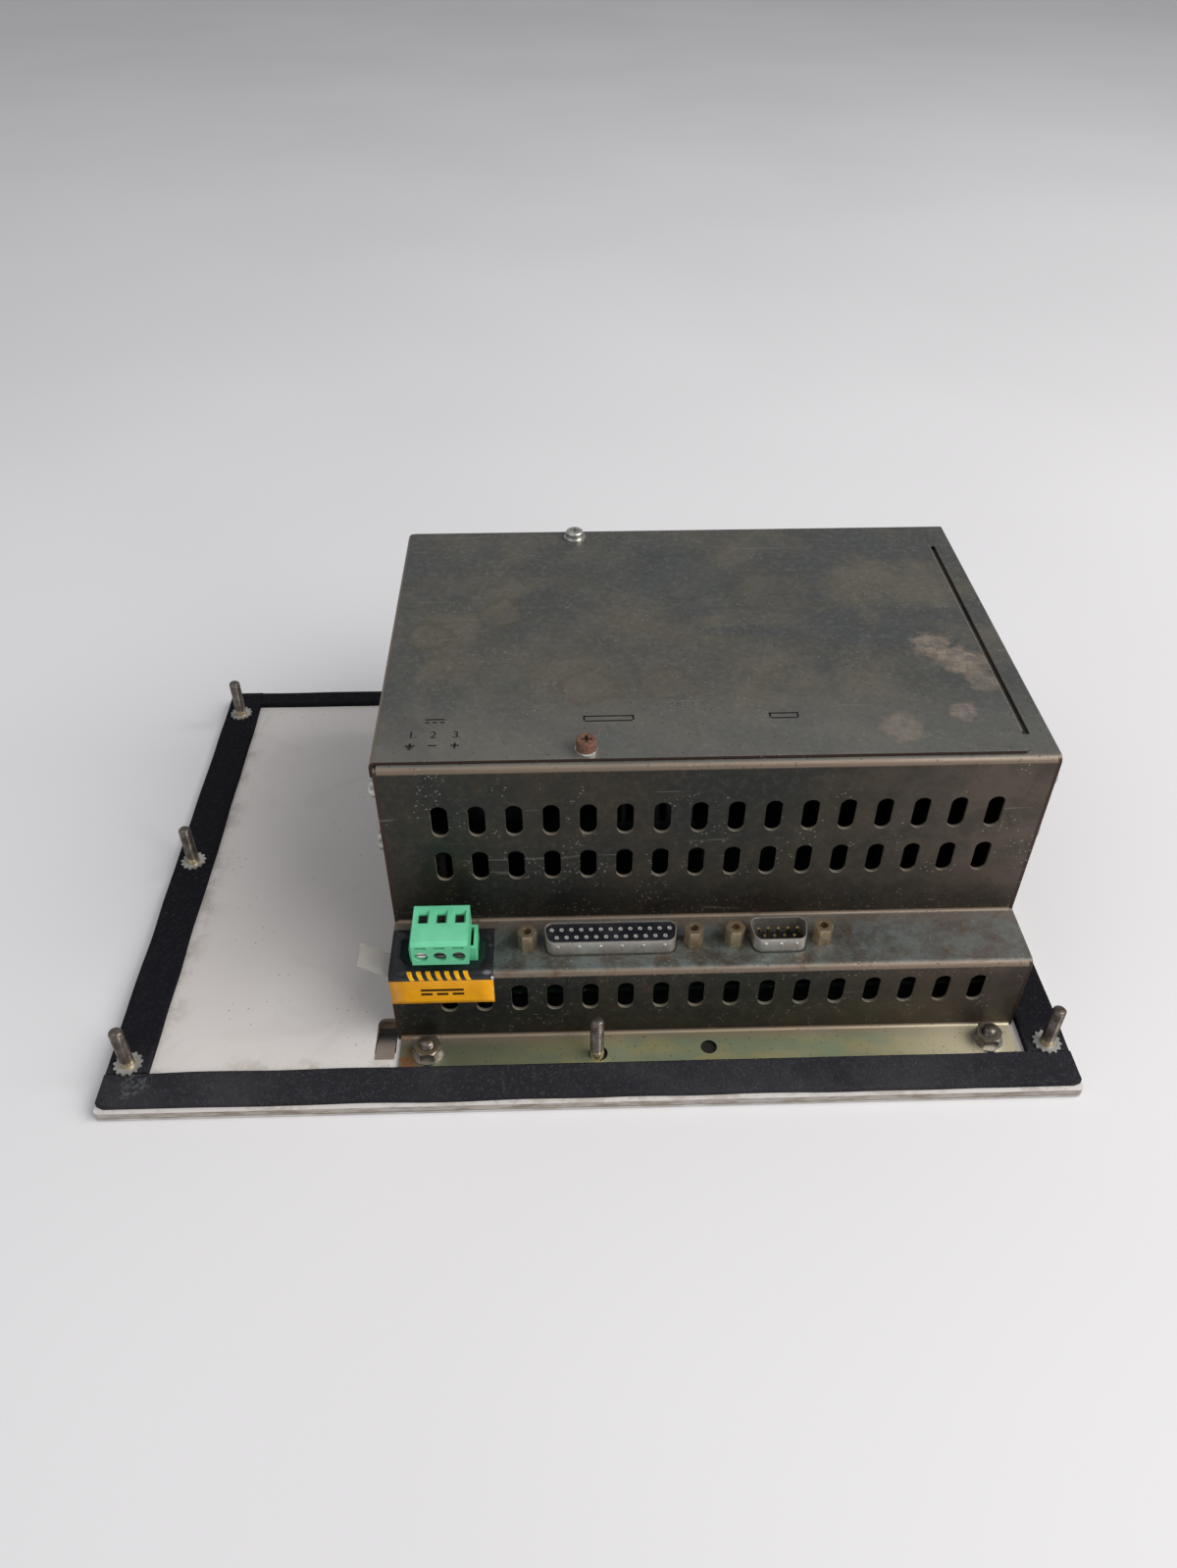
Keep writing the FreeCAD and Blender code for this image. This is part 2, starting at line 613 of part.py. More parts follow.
def left_side_plate():
    """Side plate that ends below the bend of the cover's lip, with a slot for the film."""
    half = FILM_T / 2 + FILM_SLOT_GAP
    slot = box(CH_LEFT - 1, CH_LEFT + 2, FILM_Y[0] - FILM_SLOT_GAP, FILM_Y[1] + FILM_SLOT_GAP,
               FILM_Z - half, FILM_Z + half)
    return end_plate(CH_LEFT, CHASSIS_TOP - COVER_BEND_IN).cut(slot)


def right_end_plate():
    return end_plate(CH_RIGHT - SHEET, CHASSIS_TOP)


def pan_screw_x(sign, face_x, y, z):
    """Pan head screw along X; sign is the side its head points to."""
    head = Part.makeCylinder(PAN_R, PAN_H, V(face_x, y, z), V(sign, 0, 0))
    shank = Part.makeCylinder(M3_R, SCREW_L, V(face_x, y, z), V(-sign, 0, 0))
    solid = head.fuse(shank)
    outer = face_x + sign * PAN_H
    low, high = sorted((outer, outer - sign * PAN_RECESS_D))
    reach, half = PAN_RECESS, PAN_RECESS_W / 2
    solid = solid.cut(box(low, high, y - reach, y + reach, z - half, z + half))
    solid = solid.cut(box(low, high, y - half, y + half, z - reach, z + reach))
    rim = [e for e in solid.Edges if abs(e.Length - 2 * math.pi * PAN_R) < 0.01
           and abs(e.CenterOfMass.x - outer) < 0.01]
    return solid.makeFillet(PAN_EDGE_R, rim)


def side_plate_screws():
    return group([pan_screw_x(sign, face_x, y, z)
                  for sign, face_x in ((-1, CH_LEFT), (1, CH_RIGHT)) for y, z in side_screw_places()])


def rear_cover():
    """Flat lid with a down-turned lip on its left and a tongue that hooks under the chassis top."""
    half = SHEET / 2
    mid = CHASSIS_TOP + half
    x0, x1 = COVER_X
    y0, y1 = COVER_Y
    path = [(x0 + half, mid + half - COVER_LIP), (x0 + half, mid), (x1 - COVER_END_W + SHEET, mid)]
    folded = folded_sheet(path, SHEET, COVER_BEND_IN, at_y(y0), V(0, y1 - y0, 0))
    end_x, z = x1 - COVER_END_W, CHASSIS_TOP
    corners = [V(end_x, y0, z), V(x1, y0, z), V(x1, y1, z), V(end_x, y1, z)]
    end = prism(corners, [0, COVER_CORNER_R / 2, COVER_CORNER_R, 0], V(0, 0, SHEET))
    ty0, ty1 = TOP_HOLE[2] + TONGUE_CLEAR, TOP_HOLE[3] - TONGUE_CLEAR
    low = mid - TONGUE_DROP
    step = [(x1 - COVER_END_W / 2, mid), (x1 + half, mid), (x1 + half, low), (TONGUE_X, low)]
    tongue = folded_sheet(step, SHEET, TONGUE_BEND_IN, at_y(ty0), V(0, ty1 - ty0, 0))
    holes = [rod(M3_CLEAR_R, x, y, CHASSIS_TOP - 1, CHASSIS_TOP + 2) for x, y in (FAR_SCREW, NEAR_SCREW)]
    return fused([folded, end, tongue]).cut(fused(holes))


def upright_screw(x, y, seat, head_r, head_h, edge_r):
    """Screw pointing down from its seat, with a cross recess."""
    head = rod(head_r, x, y, seat, seat + head_h)
    top_rim = [e for e in head.Edges if e.CenterOfMass.z > seat + head_h - 0.01]
    head = head.makeFillet(edge_r, top_rim)
    return head.fuse(rod(M3_R, x, y, seat - SCREW_L, seat)).cut(cross_recess(x, y, seat + head_h))


def far_cover_screw():
    seat = CHASSIS_TOP + SHEET + FLAT_WASHER_T
    return upright_screw(*FAR_SCREW, seat, PAN_R, PAN_H, PAN_EDGE_R)


def near_cover_screw():
    seat = CHASSIS_TOP + SHEET + SPRING_WASHER_T
    return upright_screw(*NEAR_SCREW, seat, OLD_HEAD_R, OLD_HEAD_H, OLD_HEAD_EDGE_R)


def cover_screw_washers():
    top = CHASSIS_TOP + SHEET
    flat = washer(FLAT_WASHER_R, M3_HOLE_R, *FAR_SCREW, top, FLAT_WASHER_T)
    spring = washer(SPRING_WASHER_R, M3_HOLE_R, *NEAR_SCREW, top, SPRING_WASHER_T)
    x, y = NEAR_SCREW
    half = SPRING_WASHER_GAP / 2
    gap = box(x, x + SPRING_WASHER_R + 1, y - half, y + half, top, top + SPRING_WASHER_T)
    return group([flat, spring.cut(gap)])


def power_header():
    """Socket that the power plug pushes down into."""
    y0, y1 = HEADER_Y
    body = centred_slab(PLUG_X, (y0 + y1) / 2, HEADER_W, y1 - y0, BOARD_TOP, HEADER_TOP, 0.4)
    cavity = block(PLUG_X, (y0 + y1) / 2, HEADER_W - 2 * HEADER_WALL, y1 - y0 - 2 * HEADER_WALL,
                   HEADER_FLOOR, HEADER_TOP)
    pins = [block(x, PIN_Y, PIN_SIDE, PIN_SIDE, BOARD_TOP, HEADER_FLOOR) for x in pole_places()]
    return body.cut(cavity).cut(fused(pins))


def header_pins():
    return group([block(x, PIN_Y, PIN_SIDE, PIN_SIDE, BOARD_TOP, PIN_TOP) for x in pole_places()])


def rectangle(half, x, y0, y1, z):
    corners = [V(x - half, y0, z), V(x + half, y0, z), V(x + half, y1, z), V(x - half, y1, z)]
    return Part.makePolygon(corners + corners[:1])


def wire_funnel(x):
    """Tapered mouth that leads a wire into the plug, then a straight hole into the clamp chamber."""
    top = PLUG_Z[1]
    mouth_half, mouth_y0, mouth_y1 = MOUTH
    half, y0, y1 = THROAT
    throat_z = top - MOUTH_DEPTH
    rims = [rectangle(mouth_half, x, mouth_y0, mouth_y1, top), rectangle(half, x, y0, y1, throat_z)]
    return Part.makeLoft(rims, True).fuse(box(x - half, x + half, y0, y1, CHAMBER[4], throat_z))


def plug_cavity(x):
    half, y0, y1, z0, z1 = CHAMBER
    room = box(x - half, x + half, y0, y1, z0, z1)
    screw_well = rod_y(CLAMP_HEAD_R + LOOSE_GAP, x, PLUG_Y[0] - 1, CLAMP_HEAD_Y[1] + FIT_GAP, CLAMP_Z)
    shaft_way = rod_y(CLAMP_SHAFT_R + LOOSE_GAP, x, CLAMP_HEAD_Y[1], y0 + 0.5, CLAMP_Z)
    slot_half, slot_depth, slot_z0, slot_z1 = TEST_SLOT
    test_slot = box(x - slot_half, x + slot_half, PLUG_Y[0] - 1, PLUG_Y[0] + slot_depth, slot_z0, slot_z1)
    way_half, way_y0, way_y1 = PIN_WAY
    pin_way = box(x - way_half, x + way_half, way_y0, way_y1, NECK_BOTTOM - 1, z0 + 0.5)
    return fused([room, wire_funnel(x), screw_well, shaft_way, test_slot, pin_way])


def power_plug():
    x0, x1 = PLUG_X - PLUG_W / 2, PLUG_X + PLUG_W / 2
    y0, y1 = PLUG_Y
    z0, z1 = PLUG_Z
    cut_y, cut_z = PLUG_CHAMFER
    side = [V(x0, y0, z0), V(x0, y0, z1 - cut_z), V(x0, y0 + cut_y, z1), V(x0, y1, z1), V(x0, y1, z0)]
    head = prism(side, [0.5, 0.4, 0.4, 0.5, 0.3], V(x1 - x0, 0, 0))
    step = box(x0, x1, y1 - PLUG_STEP[0], y1 + 1, z1 - PLUG_STEP[1], z1 + 1)
    neck = box(PLUG_X - NECK_W / 2, PLUG_X + NECK_W / 2, *NECK_Y, NECK_BOTTOM, z0 + 0.5)
    return head.cut(step).fuse(neck).removeSplitter().cut(fused([plug_cavity(x) for x in pole_places()]))


def plug_contacts():
    half, y0, y1 = CONTACT
    return group([box(x - half, x + half, y0, y1, NECK_BOTTOM + 1, CAGE[4] - 0.2) for x in pole_places()])


def clamp_screw(x):
    head = rod_y(CLAMP_HEAD_R, x, *CLAMP_HEAD_Y, CLAMP_Z)
    shaft = rod_y(CLAMP_SHAFT_R, x, CLAMP_HEAD_Y[1], CLAMP_TIP_Y, CLAMP_Z)
    half, face = CLAMP_SLOT_W / 2, CLAMP_HEAD_Y[0]
    slot = box(x - 2, x + 2, face - 1, face + CLAMP_SLOT_D, CLAMP_Z - half, CLAMP_Z + half)
    return head.fuse(shaft).removeSplitter().cut(slot)


def clamp_cage(x):
    half, y0, y1, z0, z1 = CAGE
    ring = box(x - half, x + half, y0, y1, z0, z1)
    inside = box(x - half + CAGE_WALL, x + half - CAGE_WALL, y0 + CAGE_WALL, y1 - CAGE_WALL, z0, z1)
    thread = rod_y(CLAMP_SHAFT_R + RUNNING_GAP, x, y0 - 1, y0 + CAGE_WALL + 1, CLAMP_Z)
    return ring.cut(inside).cut(thread)


def d_shell(cx, w, h, span):
    """Metal shell of a D connector: a flange under the ledge and a D-shaped collar through it."""
    under = LEDGE_Z - SHEET
    flange = centred_slab(cx, CONN_Y, span + D_EAR, D_FLANGE_H, under - D_FLANGE_T, under, 1.0)
    collar = d_prism(cx, CONN_Y, w, h, under - D_FLANGE_T, D_SHELL_TOP)
    inner_r = D_CORNER_R - D_WALL
    bore = d_prism(cx, CONN_Y, w - 2 * D_WALL, h - 2 * D_WALL, under - 2, D_SHELL_TOP + 1, inner_r)
    holes = [rod(M3_HOLE_R, cx + side * span / 2, CONN_Y, under - 2, under + 1) for side in (-1, 1)]
    return flange.fuse(collar).removeSplitter().cut(fused([bore] + holes))


def db25_shell():
    return d_shell(DB25_X, DB25_W, DB25_H, DB25_SPAN)


def de9_shell():
    return d_shell(DE9_X, DE9_W, DE9_H, DE9_SPAN)


def d_insulator(cx, w, h, count, top, hole_r, hole_depth):
    under = LEDGE_Z - SHEET - D_FLANGE_T
    inner_w, inner_h = w - 2 * D_WALL - 2 * FIT_GAP, h - 2 * D_WALL - 2 * FIT_GAP
    front = d_prism(cx, CONN_Y, inner_w, inner_h, under - 0.5, top, D_CORNER_R - D_WALL - FIT_GAP)
    rear = centred_slab(cx, CONN_Y, w + 1.5, h + 2.0, BOARD_TOP, under, 1.0)
    holes = [rod(hole_r, x, y, BOARD_TOP, top + 1) for x, y in d_pin_places(cx, count)]
    wells = [rod(hole_r + 0.1, x, y, top - hole_depth, top + 1) for x, y in d_pin_places(cx, count)]
    return front.fuse(rear).removeSplitter().cut(fused(holes + wells))


def db25_insulator():
    return d_insulator(DB25_X, DB25_W, DB25_H, 13, D_SHELL_TOP - D_FACE_DROP, SOCKET_R + THREAD_GAP, 0.5)


def db25_contacts():
    """Socket contacts: tubes a little below the insulator's face."""
    top = D_SHELL_TOP - SOCKET_DROP
    tubes = []
    for x, y in d_pin_places(DB25_X, 13):
        bore = rod(SOCKET_BORE_R, x, y, top - SOCKET_BORE_L, top)
        tubes.append(rod(SOCKET_R, x, y, BOARD_TOP, top).cut(bore))
    return group(tubes)


def de9_insulator():
    return d_insulator(DE9_X, DE9_W, DE9_H, 5, LEDGE_Z - SHEET + 0.2, PIN_R + THREAD_GAP, 0.3)


def de9_pins():
    top = D_SHELL_TOP - 1.0
    pins = []
    for x, y in d_pin_places(DE9_X, 5):
        tip = Part.makeCone(PIN_R, PIN_R / 2, PIN_TIP, V(x, y, top - PIN_TIP), V(0, 0, 1))
        pins.append(rod(PIN_R, x, y, BOARD_TOP, top - PIN_TIP).fuse(tip).removeSplitter())
    return group(pins)


def connector_jackposts():
    posts = []
    for x, y in jackpost_places():
        post = hexagon(JACK_AF, x, y, LEDGE_Z, JACK_TOP).fuse(rod(JACK_STEM_R, x, y, LEDGE_Z - 5.0, LEDGE_Z))
        posts.append(post.cut(rod(JACK_HOLE_R, x, y, JACK_TOP - JACK_HOLE_L, JACK_TOP)))
    return group(posts)


def power_label():
    """Sticker laid over the ledge and folded down the lower wall, round the power socket."""
    half = LABEL_T / 2
    x0, x1 = LABEL_X
    path = [(LABEL_FAR_Y, LEDGE_Z + half), (LOWER_WALL_Y - half, LEDGE_Z + half),
            (LOWER_WALL_Y - half, LABEL_BOTTOM)]
    sheet = folded_sheet(path, LABEL_T, BEND_IN + SHEET, at_x(x0), V(x1 - x0, 0, 0))
    gap = LOOSE_GAP + FIT_GAP
    window = box(PLUG_X - HEADER_W / 2 - gap, PLUG_X + HEADER_W / 2 + gap,
                 HEADER_Y[0] - gap, HEADER_Y[1] + gap, LEDGE_Z - 1, LEDGE_Z + 1)
    return sheet.cut(window)


def drilled_board(outline, top, screw_places):
    board = slab(*outline, top - BOARD_T, top, BOARD_R)
    return board.cut(fused([rod(M3_CLEAR_R, x, y, top - 3, top + 1) for x, y in screw_places]))


def main_board():
    return drilled_board(MAIN_BOARD, BOARD_TOP, STANDOFF_XY)


def power_board():
    return drilled_board(POWER_BOARD, POWER_BOARD_TOP, POWER_POST_XY)


def board_standoffs():
    lower = [hexagon(STANDOFF_AF, x, y, PLATE_TOP, BOARD_TOP - BOARD_T) for x, y in STANDOFF_XY]
    upper = [hexagon(STANDOFF_AF, x, y, BOARD_TOP, POWER_BOARD_TOP - BOARD_T) for x, y in POWER_POST_XY]
    return group(lower + upper)


def board_screws():
    places = [(x, y, BOARD_TOP) for x, y in STANDOFF_XY]
    places += [(x, y, POWER_BOARD_TOP) for x, y in POWER_POST_XY]
    screws = []
    for x, y, z in places:
        whole = upright_screw(x, y, z, PAN_R, PAN_H, PAN_EDGE_R)
        screws.append(whole.common(rod(PAN_R, x, y, z - BOARD_T, z + PAN_H)))
    return group(screws)


def main_board_packages():
    """Processor, memories, line drivers, a socketed program memory and a clock battery."""
    z = BOARD_TOP
    chips = [block(cx, cy, w, h, z, z + t) for cx, cy, w, h, t in CHIPS]
    return chips + [rod(CLOCK_CELL_R, CLOCK_CELL_X, CLOCK_CELL_Y, z, z + CLOCK_CELL_H)]


def heat_sink(z):
    base = block(SINK_X, SINK_Y, SINK_W, SINK_L, z, z + SINK_BASE)
    fins = [block(SINK_X + k * FIN_PITCH, SINK_Y, FIN_T, SINK_L, z + SINK_BASE - 0.2, z + SINK_H)
            for k in range(-FIN_PAIRS, FIN_PAIRS + 1)]
    return fused([base] + fins)


def power_board_packages():
    """Transformer, inductors, storage capacitors and a heat sink with fins."""
    z = POWER_BOARD_TOP
    parts = [block(cx, cy, w, h, z, z + t) for cx, cy, w, h, t in POWER_BLOCKS]
    parts += [rod(CAPACITOR_R, x, CAPACITOR_Y, z, z + CAPACITOR_H) for x in CAPACITOR_X]
    return parts + [heat_sink(z)]


def board_components():
    return group(main_board_packages() + power_board_packages())


PLAIN_NODES = (front_overlay, membrane_circuit, front_panel_plate, keypad_tail, display_window, touch_sensor,
               lcd_bezel, lcd_glass, backlight, panel_gasket, mounting_studs, stud_lock_washers,
               chassis_studs, chassis_washers, chassis_nuts, chassis, chassis_step, left_side_plate,
               right_end_plate, side_plate_screws, rear_cover, far_cover_screw, near_cover_screw,
               cover_screw_washers,
               insulation_film, power_label, power_header, header_pins, power_plug, plug_contacts,
               db25_shell, db25_insulator, db25_contacts, de9_shell, de9_insulator, de9_pins,
               connector_jackposts, main_board, power_board, board_components, board_standoffs,
               board_screws)


def solid_nodes():
    """Every node's shape by name: one node for each function above, then the clamps and the keys."""
    nodes = {make.__name__: make() for make in PLAIN_NODES}
    for number, x in enumerate(pole_places(), start=1):
        nodes["clamp_screw_%d" % number] = clamp_screw(x)
        nodes["clamp_cage_%d" % number] = clamp_cage(x)
    for name, x, y in key_places():
        nodes[name] = key(x, y)
    return nodes


def main():
    os.makedirs("parts", exist_ok=True)
    for name, shape in solid_nodes().items():
        shape.exportStep(os.path.join("parts", name + ".step"))
        sizes = (name, len(shape.Solids), shape.Volume, shape.isValid())
        print("%-22s solids %2d  volume %10.1f  valid %s" % sizes)


main()
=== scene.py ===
import json
import math

import bmesh
import bpy
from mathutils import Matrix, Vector, noise


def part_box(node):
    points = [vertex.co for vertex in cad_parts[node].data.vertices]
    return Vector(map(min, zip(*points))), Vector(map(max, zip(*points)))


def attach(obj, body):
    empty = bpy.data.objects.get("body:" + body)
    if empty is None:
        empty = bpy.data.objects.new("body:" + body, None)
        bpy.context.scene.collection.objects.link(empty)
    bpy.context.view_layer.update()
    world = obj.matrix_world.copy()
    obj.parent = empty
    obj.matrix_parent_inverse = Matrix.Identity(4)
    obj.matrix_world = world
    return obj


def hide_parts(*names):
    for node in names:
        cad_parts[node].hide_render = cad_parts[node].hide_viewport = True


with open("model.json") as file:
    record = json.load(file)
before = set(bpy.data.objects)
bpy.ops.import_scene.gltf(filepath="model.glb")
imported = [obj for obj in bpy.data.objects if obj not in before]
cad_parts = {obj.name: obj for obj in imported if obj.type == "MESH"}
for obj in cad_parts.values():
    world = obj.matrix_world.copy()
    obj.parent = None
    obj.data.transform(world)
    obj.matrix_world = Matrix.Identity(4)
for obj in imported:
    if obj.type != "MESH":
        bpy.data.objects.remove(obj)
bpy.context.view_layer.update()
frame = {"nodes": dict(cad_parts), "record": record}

MM = 0.001
NODES = frame["nodes"]
RECORD = frame["record"]
BODY_OF = {node: body for body, nodes in RECORD["behaviour"]["bodies"].items() for node in nodes}

# Camera: its place, its turn from straight down in radians, and its lens in millimetres
CAMERA_AT = (-0.00671, -0.28504, 0.28162)
CAMERA_TURN = (0.86019, 0.0, -0.029)
CAMERA_LENS = 26.805

# Threads
THREAD_PITCH = 0.7 * MM
THREAD_DEPTH = 0.38 * MM
THREAD_SEGMENTS = 24
TIP_CHAMFER = 0.55 * MM
CHASSIS_STUD_PLAIN = 4.0 * MM
MOUNTING_STUD_PLAIN = 1.0 * MM      # the part that shows above the foam

# Foam strips
FOAM_WIDTH_LEFT = 11.9 * MM
FOAM_WIDTH_RIGHT = 12.2 * MM
FOAM_WIDTH_NEAR = 10.7 * MM
FOAM_WIDTH_FAR = 7.2 * MM
FOAM_SEAM = 0.12 * MM
FOAM_STATION = 2.0 * MM
FOAM_EDGE_R = 0.45 * MM
FOAM_WANDER = 0.4 * MM
FOAM_SINK = 0.16 * MM
FOAM_COLUMNS = 8

# Prints and label
PRINT_T = 0.02 * MM
LABEL_T = 0.12 * MM
LABEL_BEND_R = 2.12 * MM
LABEL_SPLIT = 2.3 * MM              # how far the black part comes down the wall
LABEL_HOLE_GAP = 0.45 * MM
LABEL_TEAR = 0.3 * MM
BAR_COUNT, BAR_START, BAR_PITCH, BAR_WIDTH, BAR_LEAN = 7, 5.0 * MM, 2.6 * MM, 1.3 * MM, 0.5
COVER_PEN = 0.5 * MM
NUMBER_PITCH = 5.9 * MM

# Middle height of the vent slots, and how far their band reaches from it
LOWER_SLOTS = (20.6 * MM, 8 * MM)
UPPER_SLOTS = (61.3 * MM, 20 * MM)

BEAD_ROWS, BEAD_SIDES = 6, 12


def key_nodes():
    return sorted(node for node in NODES if node.startswith("key_"))


def key_field():
    """Corners of the box that holds all the keys."""
    boxes = [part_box(node) for node in key_nodes()]
    low = Vector([min(b[0][i] for b in boxes) for i in range(3)])
    high = Vector([max(b[1][i] for b in boxes) for i in range(3)])
    return low, high


def grown(box, margin):
    """A box's corners moved outwards."""
    reach = Vector((margin, margin, margin))
    return box[0] - reach, box[1] + reach


class Recipe:
    """A node material built by a few calls on one Principled shader.  Noise scales are per metre."""

    def __init__(self, name, metallic=0.0, roughness=0.5, **levels):
        self.material = bpy.data.materials.new(name)
        self.material.use_nodes = True
        self.tree = self.material.node_tree
        self.shader = self.tree.nodes["Principled BSDF"]
        levels = {"Metallic": metallic, "Roughness": roughness, **levels}
        for socket, level in levels.items():
            self.shader.inputs[socket.replace("_", " ")].default_value = level
        coordinates = self.add("ShaderNodeTexCoord")
        self.place = coordinates.outputs["Object"]
        self.x, self.y, self.z = self.add("ShaderNodeSeparateXYZ", {0: self.place}).outputs
        self.facing = self.add("ShaderNodeSeparateXYZ", {0: coordinates.outputs["Normal"]}).outputs

    def add(self, kind, inputs=None, **settings):
        node = self.tree.nodes.new(kind)
        for name, value in settings.items():
            setattr(node, name, value)
        for key, value in (inputs or {}).items():
            self.feed(node.inputs[key], value)
        return node

    def feed(self, socket, value):
        if isinstance(value, bpy.types.NodeSocket):
            self.tree.links.new(value, socket)
        elif isinstance(value, tuple) and len(value) == 3 and socket.type == "RGBA":
            socket.default_value = (*value, 1.0)
        else:
            socket.default_value = value

    def math(self, operation, a, b=0.0, clamp=False):
        return self.add("ShaderNodeMath", {0: a, 1: b}, operation=operation, use_clamp=clamp).outputs[0]

    def stretched(self, stretch):
        if stretch is None:
            return self.place
        inputs = {"Vector": self.place, "Scale": Vector(stretch)}
        return self.add("ShaderNodeMapping", inputs).outputs[0]

    def noise(self, scale, detail=3.0, roughness=0.55, stretch=None, distortion=0.0):
        inputs = {"Vector": self.stretched(stretch), "Scale": scale, "Detail": detail,
                  "Roughness": roughness, "Distortion": distortion}
        return self.add("ShaderNodeTexNoise", inputs).outputs[0]

    def cells(self, scale, stretch=None):
        inputs = {"Vector": self.stretched(stretch), "Scale": scale}
        return self.add("ShaderNodeTexVoronoi", inputs).outputs["Distance"]

    def rise(self, value, low, high):
        """0 below low and 1 above high, or the other way round when low is the larger."""
        inputs = {"Value": value, "From Min": low, "From Max": high}
        return self.add("ShaderNodeMapRange", inputs, interpolation_type="SMOOTHSTEP").outputs[0]

    def near(self, value, centre, reach):
        """1 at the centre value, falling to 0 at the reach."""
        away = self.math("ABSOLUTE", self.math("SUBTRACT", value, centre))
        return self.rise(away, reach, 0.0)

    def spot(self, centre, radius, scale=110.0):
        """A blotch round a point, with an edge broken up by noise."""
        reach = self.add("ShaderNodeVectorMath", {0: self.place, 1: Vector(centre)},
                         operation="DISTANCE").outputs["Value"]
        uneven = self.math("SUBTRACT", self.noise(scale, 6.0, 0.72), 0.5)
        away = self.math("ADD", reach, self.math("MULTIPLY", uneven, 2.4 * radius))
        return self.rise(away, 1.05 * radius, 0.85 * radius)

    def both(self, a, b):
        return self.math("MULTIPLY", a, b, clamp=True)

    def inside(self, low, high, blur):
        """1 in the upright block between two corners, falling to 0 at its sides."""
        spans = [self.both(self.rise(place, start, start + blur), self.rise(place, end, end - blur))
                 for place, start, end in ((self.x, low.x, high.x), (self.y, low.y, high.y))]
        return self.both(*spans)

    def mix(self, share, a, b):
        node = self.add("ShaderNodeMix", data_type="RGBA")
        self.feed(node.inputs["Factor"], share)
        self.feed(node.inputs[6], a)
        self.feed(node.inputs[7], b)
        return node.outputs[2]

    def level(self, share, low, high):
        """A number that runs from low to high with share."""
        inputs = {"Value": share, "To Min": low, "To Max": high}
        return self.add("ShaderNodeMapRange", inputs).outputs[0]

    def colour(self, socket):
        self.feed(self.shader.inputs["Base Color"], socket)

    def roughness(self, socket):
        self.feed(self.shader.inputs["Roughness"], socket)

    def relief(self, *layers, rounding=None, flat_where=None):
        """Bump from (height, depth in metres) layers, over rounded edges.

        Edges stay sharp where flat_where is 1.
        """
        normal = None
        if rounding:
            normal = self.add("ShaderNodeBevel", {"Radius": rounding}, samples=4).outputs[0]
        if flat_where:
            plain = self.add("ShaderNodeNewGeometry").outputs["Normal"]
            choice = self.add("ShaderNodeMix", data_type="VECTOR")
            self.feed(choice.inputs["Factor"], flat_where)
            self.feed(choice.inputs[4], normal)
            self.feed(choice.inputs[5], plain)
            normal = choice.outputs[1]
        for height, depth in layers:
            node = self.add("ShaderNodeBump", {"Height": height, "Distance": depth, "Strength": 1.0})
            if normal:
                self.feed(node.inputs["Normal"], normal)
            normal = node.outputs[0]
        self.feed(self.shader.inputs["Normal"], normal)


# ---------------------------------------------------------------- materials

